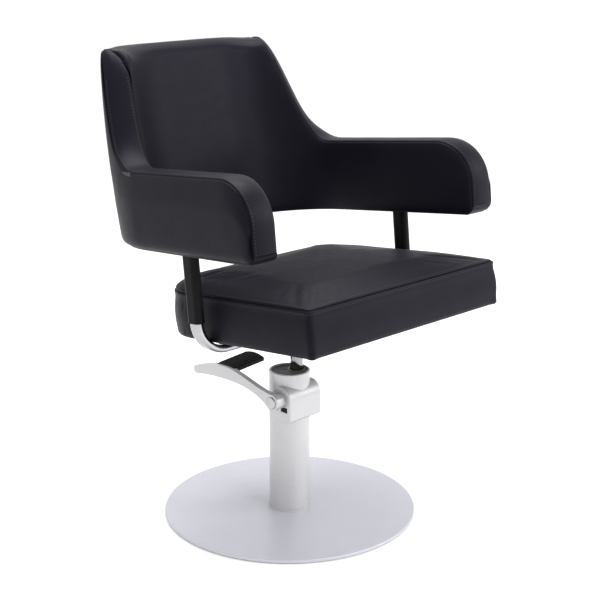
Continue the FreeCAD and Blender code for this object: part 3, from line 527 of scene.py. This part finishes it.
def arm_station(y):
    """Section across the left arm, whose front corners are rounded."""
    from_front = y - SHELL_FRONT
    top = ARM_TOP
    if from_front < FRONT_ROUND_R:
        top += math.sqrt(FRONT_ROUND_R ** 2 - (FRONT_ROUND_R - from_front) ** 2) - FRONT_ROUND_R
    low = SHELL_BOTTOM
    if from_front < FRONT_LOW_R:
        low += FRONT_LOW_R - math.sqrt(FRONT_LOW_R ** 2 - (FRONT_LOW_R - from_front) ** 2)
    share = min(max((y - POST_Y) / (TANGENT_Y - POST_Y), 0.0), 1.0)
    lean = (-SHELL_SPLAY * RECLINE * share, RECLINE * share)
    skew = SHELL_SPLAY * float(smoothstep((y - SQUARE_END_Y) / SQUARE_BLEND))
    normal = (1 / math.hypot(1, skew), skew / math.hypot(1, skew))
    return Station(SHELL_HALF_WIDTH - SHELL_SPLAY * y, y, normal, lean, low, top, RISE_START)


def corner_station(degrees):
    """Section at an angle round the corner, where the wall climbs from the arm to the back."""
    angle = math.radians(degrees)
    share = min(max((degrees - RISE_START) / (RISE_END - RISE_START), 0.0), 1.0)
    climb = float(smoothstep(share ** RISE_POWER))
    crest = float(smoothstep((degrees - RISE_END) / (CORNER_END - RISE_END)))
    top = ARM_TOP + (BACK_SHOULDER - ARM_TOP) * climb + (BACK_TOP - BACK_SHOULDER) * crest
    top += SHOULDER_LIFT * math.exp(-((degrees - SHOULDER_CENTRE) / SHOULDER_REACH) ** 2)
    straightened = float(smoothstep((degrees - RISE_START) / (LEAN_END - RISE_START)))
    sideways = -SHELL_SPLAY * RECLINE * (1 - straightened)
    normal = (math.cos(angle), math.sin(angle))
    x = SHELL_CORNER_X + SHELL_CORNER_R * normal[0]
    y = SHELL_CORNER_Y + SHELL_CORNER_R * normal[1]
    return Station(x, y, normal, (sideways, RECLINE), SHELL_BOTTOM, top, degrees)


def back_station(x):
    """Section across the straight middle of the back."""
    y = SHELL_CORNER_Y + SHELL_CORNER_R
    return Station(x, y, (0.0, 1.0), (0.0, RECLINE), SHELL_BOTTOM, BACK_TOP, CORNER_END)


def shell_stations():
    """Pairs of section and side, from the sitter's right arm round the back to the left arm."""
    half = [arm_station(SHELL_FRONT + d) for d in SEAM_NEAR]
    half += [arm_station(y) for y in np.linspace(SHELL_FRONT + ARM_GRID_START, TANGENT_Y, ARM_SECTIONS)]
    for start, end, count in CORNER_SECTIONS:
        half += [corner_station(d) for d in np.linspace(start, end, count)[1:]]
    half += [back_station(x) for x in np.linspace(SHELL_CORNER_X, 0, BACK_SECTIONS)[1:]]
    return [(station, -1) for station in half] + [(station, 1) for station in reversed(half[:-1])]


def row_heights(station):
    """Heights up one section, close together near both ends."""
    near = np.array(SEAM_NEAR)
    low = station.low + near
    high = (station.top - near)[::-1]
    return np.concatenate([low, np.linspace(low[-1], high[0], MIDDLE_ROWS + 2)[1:-1], high])


def rounded_corner(below, inside, radius):
    """Bend the square top edge of a section, given distances down the face and in along the top."""
    if 0 < below < radius:
        angle = math.radians(90) * (radius - below) / (2 * radius)
    elif below <= 0 and inside < radius:
        angle = math.radians(90) * (radius + inside) / (2 * radius)
    else:
        return below, inside
    return radius * (1 - math.sin(angle)), radius * (1 - math.cos(angle))


def section_point(station, side, depth, z):
    """Point of the cover at a depth behind its inner face, with the section's top edges rounded."""
    below = station.top - SHELL_MARGIN - z
    drop = station.drop * (depth / COVER_THICK) ** DROP_POWER
    if depth < COVER_THICK / 2:
        below, depth = rounded_corner(below, depth, station.edge_round)
    else:
        radius = min(station.edge_round, OUTER_ROUND)
        below, inside = rounded_corner(below, COVER_THICK - depth, radius)
        depth = COVER_THICK - inside
    rise = station.top - SHELL_MARGIN - max(below, 0.0) - station.low
    rise *= 1 - drop / (station.top - station.low)
    x, y, z = station.point(SHELL_MARGIN + depth, station.low + rise)
    return (side * x, y, z)


def grid_normals(grid, like):
    """Unit normals of a grid of points, on the side that the vectors in like point to."""
    normals = np.cross(np.gradient(grid, axis=0), np.gradient(grid, axis=1))
    normals /= np.maximum(np.linalg.norm(normals, axis=2, keepdims=True), 1e-12)
    return normals * np.sign(np.sum(normals * like, axis=2, keepdims=True) + 1e-9)


def distance_to(points, curves):
    """Distance from each point to the nearest of some curves."""
    knots = np.vstack([resample(curve, SEAM_KNOTS) for curve in curves])
    tree = KDTree(len(knots))
    for i, p in enumerate(knots):
        tree.insert(Vector(p), i)
    tree.balance()
    shape = points.shape[:-1]
    return np.array([tree.find(Vector(p))[2] for p in points.reshape(-1, 3)]).reshape(shape)


def cross_depth(degrees):
    """Depth at which the seam that closes the band crosses it."""
    return COVER_THICK * ((degrees - CROSS_START) / (CROSS_END - CROSS_START)) ** CROSS_POWER


class Shell:
    """Grids of points on the shell's three surfaces, and the seams between them."""

    def __init__(self):
        self.stations = shell_stations()
        heights = [row_heights(s) - SHELL_MARGIN for s, _ in self.stations]
        for (station, _), z in zip(self.stations, heights):
            z += SHELL_MARGIN * (1 - (z - z[0]) / (z[-1] - z[0]))
        self.inner = np.array([[section_point(s, side, 0.0, z) for z in zs]
                               for (s, side), zs in zip(self.stations, heights)])
        self.outer = np.array([[section_point(s, side, COVER_THICK, z) for z in zs]
                               for (s, side), zs in zip(self.stations, heights)])
        self.columns, self.rows, _ = self.inner.shape
        top = self.rows - 1
        end = self.columns - 1
        self.loop = [(0, r) for r in range(top + 1)] + [(c, top) for c in range(1, end + 1)]
        self.loop += [(end, r) for r in range(top - 1, -1, -1)] + [(c, 0) for c in range(end - 1, 0, -1)]
        middle = np.linspace(BAND_GRID_START, COVER_THICK - BAND_GRID_START, BAND_POINTS)
        self.across = np.concatenate([SEAM_NEAR[1:], middle, (COVER_THICK - np.array(SEAM_NEAR[1:]))[::-1]])
        self.band = np.array([self.band_row(c, r, heights[c][r]) for c, r in self.loop])

    def band_row(self, c, r, z):
        """Points across the band beside one point of the faces' edge."""
        station, side = self.stations[c]
        if r == self.rows - 1:
            return [section_point(station, side, d, z) for d in self.across]
        shares = (self.across / COVER_THICK)[:, None]
        return self.inner[c, r] * (1 - shares) + self.outer[c, r] * shares

    def arm_columns(self, side, limit):
        """Columns of one side, from its front to an angle round the corner."""
        half = self.columns // 2
        picked = [c for c in range(half + 1) if self.stations[c][0].degrees <= limit]
        return picked if side < 0 else [self.columns - 1 - c for c in picked]

    def edge(self, grid, side, limit):
        """Edge of one face, from the arm's lower front corner up and back to an angle round the corner."""
        picked = self.arm_columns(side, limit)
        front = [grid[picked[0], r] for r in range(self.rows)]
        return np.array(front + [grid[c, -1] for c in picked[1:]])

    def cross_seam(self, side):
        """Seam from the inner edge over the band to the outer edge."""
        points = []
        for degrees in np.linspace(CROSS_START, CROSS_END, CROSS_POINTS):
            station = corner_station(degrees)
            points.append(section_point(station, side, cross_depth(degrees), station.top - SHELL_MARGIN))
        return np.array(points)

    def inner_seams(self):
        return [np.vstack([self.edge(self.inner, side, CROSS_START), self.cross_seam(side)])
                for side in (-1, 1)]

    def outer_seam(self):
        loop = [self.outer[c, r] for c, r in self.loop]
        return np.array(loop + loop[:1])

    def lower_edges(self):
        return [self.inner[:, 0], self.outer[:, 0]]

    def outward(self):
        """Rough outward directions of the three surfaces."""
        facing = np.array([[side * s.normal[0], s.normal[1], 0] for s, side in self.stations])
        face = np.repeat(facing[:, None], self.rows, 1)
        band = []
        for c, r in self.loop:
            if r == self.rows - 1:
                rounded = self.stations[c][0].y <= SHELL_FRONT + FRONT_ZONE
                band.append((0, -0.7, 0.7) if rounded else (0, -0.3, 1))
            elif r == 0:
                band.append((0, 0, -1))
            else:
                band.append((0, -1, 0))
        return -face, face, np.repeat(np.array(band, float)[:, None], len(self.across), 1)

    def padded(self):
        """The three surfaces with the padding swollen between the seams, and each point's gap to a seam."""
        toward_inner, toward_outer, toward_band = self.outward()
        seams = self.inner_seams() + [self.outer_seam()]
        quiet = self.lower_edges()
        ring = np.concatenate([self.band[-1:], self.band, self.band[:1]])
        around = np.concatenate([toward_band[-1:], toward_band, toward_band[:1]])
        under = np.array([r == 0 for _, r in self.loop])
        band_puff = np.where(under, UNDER_PUFF, BAND_PUFF)[:, None]
        band_normals = grid_normals(ring, around)[1:-1]
        inner_normals = self.rolled_edge(grid_normals(self.inner, toward_inner), band_normals)
        outer_normals = grid_normals(self.outer, toward_outer)
        surfaces = []
        gaps = []
        for grid, normals, puff in ((self.inner, inner_normals, FACE_PUFF),
                                    (self.outer, outer_normals, FACE_PUFF),
                                    (self.band, band_normals, band_puff)):
            to_seam = distance_to(grid, seams)
            to_edge = np.minimum(to_seam, distance_to(grid, quiet))
            lift = swell(to_edge, puff, PUFF_REACH) - groove(to_seam)
            if grid is self.outer:
                share = np.linspace(0, 1, self.rows)
                fade = 1 - smoothstep((share - BELLY_HIGH) / (1 - BELLY_HIGH))
                lift = lift + BELLY * smoothstep(share / BELLY_LOW) * fade
            waves = ripple(grid.reshape(-1, 3), SHELL_RIPPLE).reshape(lift.shape)
            lift = lift + waves * np.minimum(to_edge / RIPPLE_FADE, 1)
            surfaces.append(grid + normals * lift[..., None])
            gaps.append(to_seam.reshape(-1))
        return surfaces, np.concatenate(gaps)

    def rolled_edge(self, normals, band_normals):
        """The inner face's normals, turned half way to the band's where the back rolls over with no seam."""
        turned = normals.copy()
        for i, (c, r) in enumerate(self.loop):
            if r == self.rows - 1 and self.stations[c][0].degrees > CROSS_START:
                middle = normals[c, r] + band_normals[i, 0]
                turned[c, r] = middle / np.linalg.norm(middle)
        return turned

    def mesh(self):
        (inner, outer, band), gaps = self.padded()
        index_inner = np.arange(inner.shape[0] * inner.shape[1]).reshape(inner.shape[:2])
        index_outer = index_inner + index_inner.size
        index_band = np.arange(band.shape[0] * band.shape[1]).reshape(band.shape[:2]) + 2 * index_inner.size
        faces = []
        for c in range(self.columns - 1):
            for r in range(self.rows - 1):
                for index in (index_inner, index_outer):
                    faces.append((index[c, r], index[c + 1, r], index[c + 1, r + 1], index[c, r + 1]))
        strips = [[index_inner[at]] + list(index_band[i]) + [index_outer[at]]
                  for i, at in enumerate(self.loop)]
        for first, second in zip(strips, strips[1:] + strips[:1]):
            for j in range(len(first) - 1):
                faces.append((first[j], first[j + 1], second[j + 1], second[j]))
        verts = np.vstack([inner.reshape(-1, 3), outer.reshape(-1, 3), band.reshape(-1, 3)])
        cover = outward(mesh_object("shell_cover", to_row(verts), faces))
        # painted shade along the shell cover's seams
        paint_seam_shade(cover, gaps)
        return cover


def beside(path, other, distance):
    """A path shifted towards the matching points of another."""
    step = other - path
    return path + step / np.linalg.norm(step, axis=1, keepdims=True) * distance


def build_shell():
    shell = Shell()
    cover = shell.mesh()
    place(cover, "seat", LEATHER)
    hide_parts("shell_inner_pad", "shell_outer_pad")
    for side, word in ((-1, "right"), (1, "left")):
        inside = shell.edge(shell.inner, side, CROSS_START)
        outside = shell.edge(shell.outer, side, CROSS_START)
        for name, path, other in (("inner", inside, outside), ("outer", outside, inside)):
            row = stitch_row(f"stitches_{word}_{name}", to_row(beside(path, other, STITCH_INSET)), cover)
            place(row, "seat", THREAD)
    return cover


# ---------------------------------------------------------------- seat cushion
SEAT_FRONT_CORNER_R = 0.010
SMALLEST_CORNER_R = 0.015       # least radius of the rear corners of the inner rings
CORNER_POINTS = 17
RING_POINTS = 420
SEAM_INSET = 0.0030

UNDER_EDGE = ((0.060, 0.0), (0.020, 0.0), (0.006, 0.0005), (0.0025, 0.0020), (0.0012, 0.0045))  # inset, rise
BOXING_START = 0.06             # share of the side's height where the upright boxing starts
BOXING_LEVELS = 16
BOXING_INSET = 0.0015
BOXING_BULGE = 0.0035
BOXING_TURN = 0.004             # reach of the side's turn in towards the seam
BOXING_SEAM_ANGLES = (8.0, 26.0)    # of the upright seams, round the rear corners
BOXING_SEAM_START = 0.003       # height over the bottom where those seams start
CROWN_REACH = 0.011             # how soon the top panel reaches its full height
TOP_RINGS = np.linspace(0.024, 0.190, 30)       # insets
FALL_OFFSET = 0.006             # how far outside the edges the fall of the crown is reckoned from
SIDE_FALL = 0.030
FRONT_FALL = 0.036
CENTRE_RISE = (0, 0, 0.0004)    # of the top panel's middle point over its innermost ring

VOXEL = 0.0055
INFLATE_FRAMES = 16
INFLATE_CAP = 0.003             # most that the cloth pressure moves a point
HOLD_SEAM = 0.009               # the simulated copy is held this near to the seam
HOLD_FOOT = 0.010               # and this near to its bottom
NEIGHBOURS = 10                 # simulated points that move one point of the cover
NEIGHBOUR_SOFTNESS = 0.002
FREE_FROM = 0.002               # gap to the seam where the cover starts to take up that movement
FREE_REACH = 0.010
FREE_RISE = 0.012               # height over the bottom where it takes it up fully

SEAT_RIPPLE = 0.060             # size of the ripples
RIPPLE_START = 0.004            # height over the bottom where they start
SEAM_BEAD = 0.0012              # roll of cover on both sides of the seam
BEAD_CENTRE = 0.0042
BEAD_WIDTH = 0.0028
SEAM_PULL = 1.2                 # depth of the seam's groove, as a multiple of the shell's
UPRIGHT_PULL = 0.7              # and that of the boxing's upright seams
EAR_REACH = 0.012               # size of the front corners that stick out at the bottom
EAR_PULL = 0.0030
EAR_SAG = 0.0020
LOWEST = 0.0015                 # the cover ends this far under the seat's bottom
TOP_ROW_RISE = 0.005            # height over the seam where the top row of stitches is looked for
SIDE_ROW_INSET = 0.0010         # and the inset of the side row


def seat_ring(inset, z):
    """Evenly spaced points round the seat's plan outline at a height, starting at the same corner."""
    x = SEAT_HALF_WIDTH - inset
    front = SEAT_FRONT + inset
    rear = SEAT_REAR - inset
    front_r = SEAT_FRONT_CORNER_R
    rear_r = max(SEAT_REAR_CORNER_R - inset, SMALLEST_CORNER_R)
    corners = ((x, front, front_r, -90), (x, rear, rear_r, 0),
               (-x, rear, rear_r, 90), (-x, front, front_r, 180))
    points = []
    for cx, cy, radius, start in corners:
        centre_x = cx - math.copysign(radius, cx)
        centre_y = cy - math.copysign(radius, cy - (front + rear) / 2)
        for angle in np.radians(start + np.linspace(0, 90, CORNER_POINTS)):
            points.append((centre_x + radius * math.cos(angle), centre_y + radius * math.sin(angle), z))
    closed = np.array(points + points[:1])
    run = np.concatenate([[0], np.cumsum(np.linalg.norm(np.diff(closed, axis=0), axis=1))])
    at = np.linspace(0, run[-1], RING_POINTS + 1)[:-1]
    return np.stack([np.interp(at, run, closed[:, k]) for k in range(3)], 1)


def seat_profile():
    """Inset and height pairs from under the edge up the side, over the seam and in across the top."""
    levels = [(inset, SEAT_BOTTOM + rise) for inset, rise in UNDER_EDGE]
    box_top = SEAT_SEAM - SEAM_NEAR[-1]
    for t in np.linspace(BOXING_START, 1.0, BOXING_LEVELS):
        bulge = BOXING_BULGE * math.sin(math.pi * t)
        levels.append((BOXING_INSET - bulge, SEAT_BOTTOM + t * (box_top - SEAT_BOTTOM)))
    for d in SEAM_NEAR[-2:0:-1]:
        turn = (SEAM_INSET - BOXING_INSET) * (1 - math.exp(-d / BOXING_TURN))
        levels.append((SEAM_INSET - turn, SEAT_SEAM - d))
    levels.append((SEAM_INSET, SEAT_SEAM))
    for inset in [SEAM_INSET + d for d in SEAM_NEAR[1:]] + list(TOP_RINGS):
        share = 1 - math.exp(-(inset - SEAM_INSET) / CROWN_REACH)
        levels.append((inset, SEAT_SEAM + SEAT_CROWN * share))
    return levels


def crowned(points):
    """Let the top panel fall away towards its sides and front."""
    side = 1 - np.exp(-(SEAT_HALF_WIDTH - np.abs(points[:, 0]) + FALL_OFFSET) / SIDE_FALL)
    front = 1 - np.exp(-(points[:, 1] - SEAT_FRONT + FALL_OFFSET) / FRONT_FALL)
    rise = np.maximum(points[:, 2] - SEAT_SEAM, 0.0)
    points[:, 2] += rise * (side * front - 1)
    return points


def seat_mesh(name, profile):
    """Closed mesh of stacked rings."""
    rings = [crowned(seat_ring(inset, z)) for inset, z in profile]
    count = RING_POINTS
    faces = []
    for i in range(len(rings) - 1):
        for k in range(count):
            m = (k + 1) % count
            faces.append((i * count + k, i * count + m, (i + 1) * count + m, (i + 1) * count + k))
    faces.append(tuple(reversed(range(count))))
    last = (len(rings) - 1) * count
    centre = len(rings) * count
    faces += [(last + k, last + (k + 1) % count, centre) for k in range(count)]
    middle = rings[-1].mean(axis=0) + CENTRE_RISE
    return outward(mesh_object(name, np.vstack(rings + [middle[None]]), faces))


def seam_curve(inset, z):
    """Closed curve round the seat at an inset and a height."""
    points = seat_ring(inset, z)
    return np.vstack([points, points[:1]])


def boxing_seams():
    """Upright seams of the side panel behind both rear corners."""
    seams = []
    for side in (-1, 1):
        for angle in BOXING_SEAM_ANGLES:
            radius = SEAT_REAR_CORNER_R
            x = side * (SEAT_HALF_WIDTH - radius + radius * math.cos(math.radians(angle)))
            y = SEAT_REAR - radius + radius * math.sin(math.radians(angle))
            seams.append(np.array([(x, y, SEAT_BOTTOM + BOXING_SEAM_START), (x, y, SEAT_SEAM)]))
    return seams


def apply_modifiers(obj):
    bpy.context.view_layer.objects.active = obj
    for other in bpy.context.selected_objects:
        other.select_set(False)
    obj.select_set(True)
    for modifier in list(obj.modifiers):
        bpy.ops.object.modifier_apply(modifier=modifier.name)


def coordinates(mesh):
    co = np.zeros(len(mesh.vertices) * 3)
    mesh.vertices.foreach_get("co", co)
    return co.reshape(-1, 3)


def inflated(profile, seam):
    """Rest points of a coarse copy of the cushion, and how far cloth pressure moves them."""
    copy = seat_mesh("inflate_copy", profile)
    remesh = copy.modifiers.new("Remesh", "REMESH")
    remesh.mode = "VOXEL"
    remesh.voxel_size = VOXEL
    apply_modifiers(copy)
    rest = coordinates(copy.data)
    held = (distance_to(rest, [seam]) < HOLD_SEAM) | (rest[:, 2] < SEAT_BOTTOM + HOLD_FOOT)
    group = copy.vertex_groups.new(name="held")
    group.add([int(i) for i in np.nonzero(held)[0]], 1.0, "REPLACE")
    cloth = copy.modifiers.new("Cloth", "CLOTH")
    settings = cloth.settings
    settings.quality = 6
    settings.mass = 0.3
    settings.tension_stiffness = 15
    settings.compression_stiffness = 15
    settings.shear_stiffness = 8
    settings.bending_stiffness = 0.8
    settings.use_pressure = True
    settings.uniform_pressure_force = 4
    settings.effector_weights.gravity = 0
    settings.vertex_group_mass = "held"
    scene = bpy.context.scene
    scene.frame_start = 1
    scene.frame_end = INFLATE_FRAMES
    for number in range(1, INFLATE_FRAMES + 1):
        scene.frame_set(number)
    moved = coordinates(copy.evaluated_get(bpy.context.evaluated_depsgraph_get()).data)
    scene.frame_set(1)
    bpy.data.objects.remove(copy)
    move = moved - rest
    size = np.linalg.norm(move, axis=1, keepdims=True)
    return rest, move * np.minimum(1, INFLATE_CAP / np.maximum(size, 1e-9))


def carried(points, rest, move):
    """Movement of each point, from the nearest simulated ones."""
    tree = KDTree(len(rest))
    for i, p in enumerate(rest):
        tree.insert(Vector(p), i)
    tree.balance()
    result = np.zeros_like(points)
    for i, p in enumerate(points):
        near = tree.find_n(Vector(p), NEIGHBOURS)
        weights = np.array([1 / (d + NEIGHBOUR_SOFTNESS) ** 2 for _, _, d in near])
        result[i] = weights @ move[[k for _, k, _ in near]] / weights.sum()
    return result


def seat_cover():
    """Boxed seat cushion: crowned top panel, upright boxing and the seams between them."""
    profile = seat_profile()
    obj = seat_mesh("seat_cover", profile)
    seam = seam_curve(SEAM_INSET, SEAT_SEAM)
    co = coordinates(obj.data)
    gap = distance_to(co, [seam])
    rest, move = inflated(profile, seam)
    free = smoothstep((gap - FREE_FROM) / FREE_REACH) * smoothstep((co[:, 2] - SEAT_BOTTOM) / FREE_RISE)
    co += carried(co, rest, move) * free[:, None]
    normals = np.zeros(len(obj.data.vertices) * 3)
    obj.data.vertices.foreach_get("normal", normals)
    normals = normals.reshape(-1, 3)
    upright = distance_to(co, boxing_seams())
    above = co[:, 2] > SEAT_BOTTOM + RIPPLE_START
    lift = ripple(co, SEAT_RIPPLE) * np.minimum(gap / RIPPLE_FADE, 1) * above
    lift += SEAM_BEAD * np.exp(-((gap - BEAD_CENTRE) / BEAD_WIDTH) ** 2)
    lift -= SEAM_PULL * groove(gap) + UPRIGHT_PULL * groove(upright)
    co += normals * lift[:, None]
    for side in (-1, 1):
        corner = np.array([side * SEAT_HALF_WIDTH, SEAT_FRONT, SEAT_BOTTOM])
        pull = np.exp(-(np.linalg.norm(co - corner, axis=1) / EAR_REACH) ** 2)
        co += pull[:, None] * np.array([side * EAR_PULL, -EAR_PULL, -EAR_SAG])
    co[:, 2] = np.maximum(co[:, 2], SEAT_BOTTOM - LOWEST)
    obj.data.vertices.foreach_set("co", to_row(co).reshape(-1))
    obj.data.update()
    # painted shade along the seat cover's seams
    paint_seam_shade(obj, np.minimum(gap, upright))
    return obj


def build_seat():
    cover = seat_cover()
    place(cover, "seat", LEATHER)
    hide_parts("seat_cushion")
    rows = (("top", seam_curve(SEAM_INSET + STITCH_INSET, SEAT_SEAM + TOP_ROW_RISE)),
            ("side", seam_curve(SIDE_ROW_INSET, SEAT_SEAM - STITCH_INSET)))
    for name, path in rows:
        place(stitch_row(f"stitches_seat_{name}", to_row(path), cover), "seat", THREAD)
    return cover


# ---------------------------------------------------------------- pump
def squeezed_spring():
    """The plunger's spring, which in the pump shortens towards its seat as the plunger goes down: here a fixed
    copy of the CAD node's mesh, carried by the base.
    """
    source = frame["nodes"]["plunger_spring"]
    verts = np.array([source.matrix_world @ v.co for v in source.data.vertices])
    obj = mesh_object("plunger_spring_coil", verts, [tuple(f.vertices) for f in source.data.polygons])
    place(obj, "base", SPRING)
    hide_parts("plunger_spring")
    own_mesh(obj)
    return obj


# ---------------------------------------------------------------- studio
FLOOR_REACH = 40
FLOOR_LOW = (0.94, 0.94, 0.94)
FLOOR_HIGH = (0.955, 0.955, 0.955)
WORLD_STRENGTH = 1.08
LIGHT_TARGET = (0, 0, 0.6)

CAMERA_PLACE = (-1.801, -1.882, 1.199)
CAMERA_DOWN = 16.0              # degrees under the horizon
CAMERA_TURN = -44.21
CAMERA_WIDTH = 25.07            # degrees that the picture's width spans


def area_light(name, location, size, energy):
    data = bpy.data.lights.new(name, "AREA")
    data.shape = "RECTANGLE"
    data.size, data.size_y = size
    data.energy = energy
    light = bpy.data.objects.new(name, data)
    light.location = location
    light.rotation_euler = (Vector(LIGHT_TARGET) - Vector(location)).to_track_quat("-Z", "Y").to_euler()
    bpy.context.scene.collection.objects.link(light)


def studio():
    corners = [(x * FLOOR_REACH, y * FLOOR_REACH, 0) for x, y in ((-1, -1), (1, -1), (1, 1), (-1, 1))]
    floor = mesh_object("studio_floor", corners, [(0, 1, 2, 3)], smooth=False)
    n = Nodes("floor_white")
    n.set(Base_Color=n.colours(n.noise(scale=0.8, detail=2.0), [(0.3, FLOOR_LOW), (0.7, FLOOR_HIGH)]),
          Roughness=0.7)
    floor.data.materials.append(n.material)
    world = bpy.data.worlds.new("studio_white")
    bpy.context.scene.world = world
    world.use_nodes = True
    background = world.node_tree.nodes["Background"]
    background.inputs["Color"].default_value = (1, 1, 1, 1)
    background.inputs["Strength"].default_value = WORLD_STRENGTH
    area_light("key", location=(0.2, -3.2, 2.4), size=(1.4, 1.6), energy=48)
    area_light("fill", location=(2.2, -2.2, 1.8), size=(1.6, 2.0), energy=42)
    area_light("top", location=(0.3, 0.4, 2.8), size=(1.6, 1.6), energy=55)
    bpy.context.scene.view_settings.view_transform = "Standard"


def camera():
    data = bpy.data.cameras.new("camera")
    data.sensor_fit = "HORIZONTAL"
    data.angle = math.radians(CAMERA_WIDTH)
    data.clip_start = 0.05
    data.clip_end = 150
    cam = bpy.data.objects.new("camera", data)
    cam.location = CAMERA_PLACE
    cam.rotation_euler = (math.radians(90 - CAMERA_DOWN), 0, math.radians(CAMERA_TURN))
    bpy.context.scene.collection.objects.link(cam)
    bpy.context.scene.camera = cam


camera()
studio()
dress_cad_nodes()
build_shell()
build_seat()
squeezed_spring()
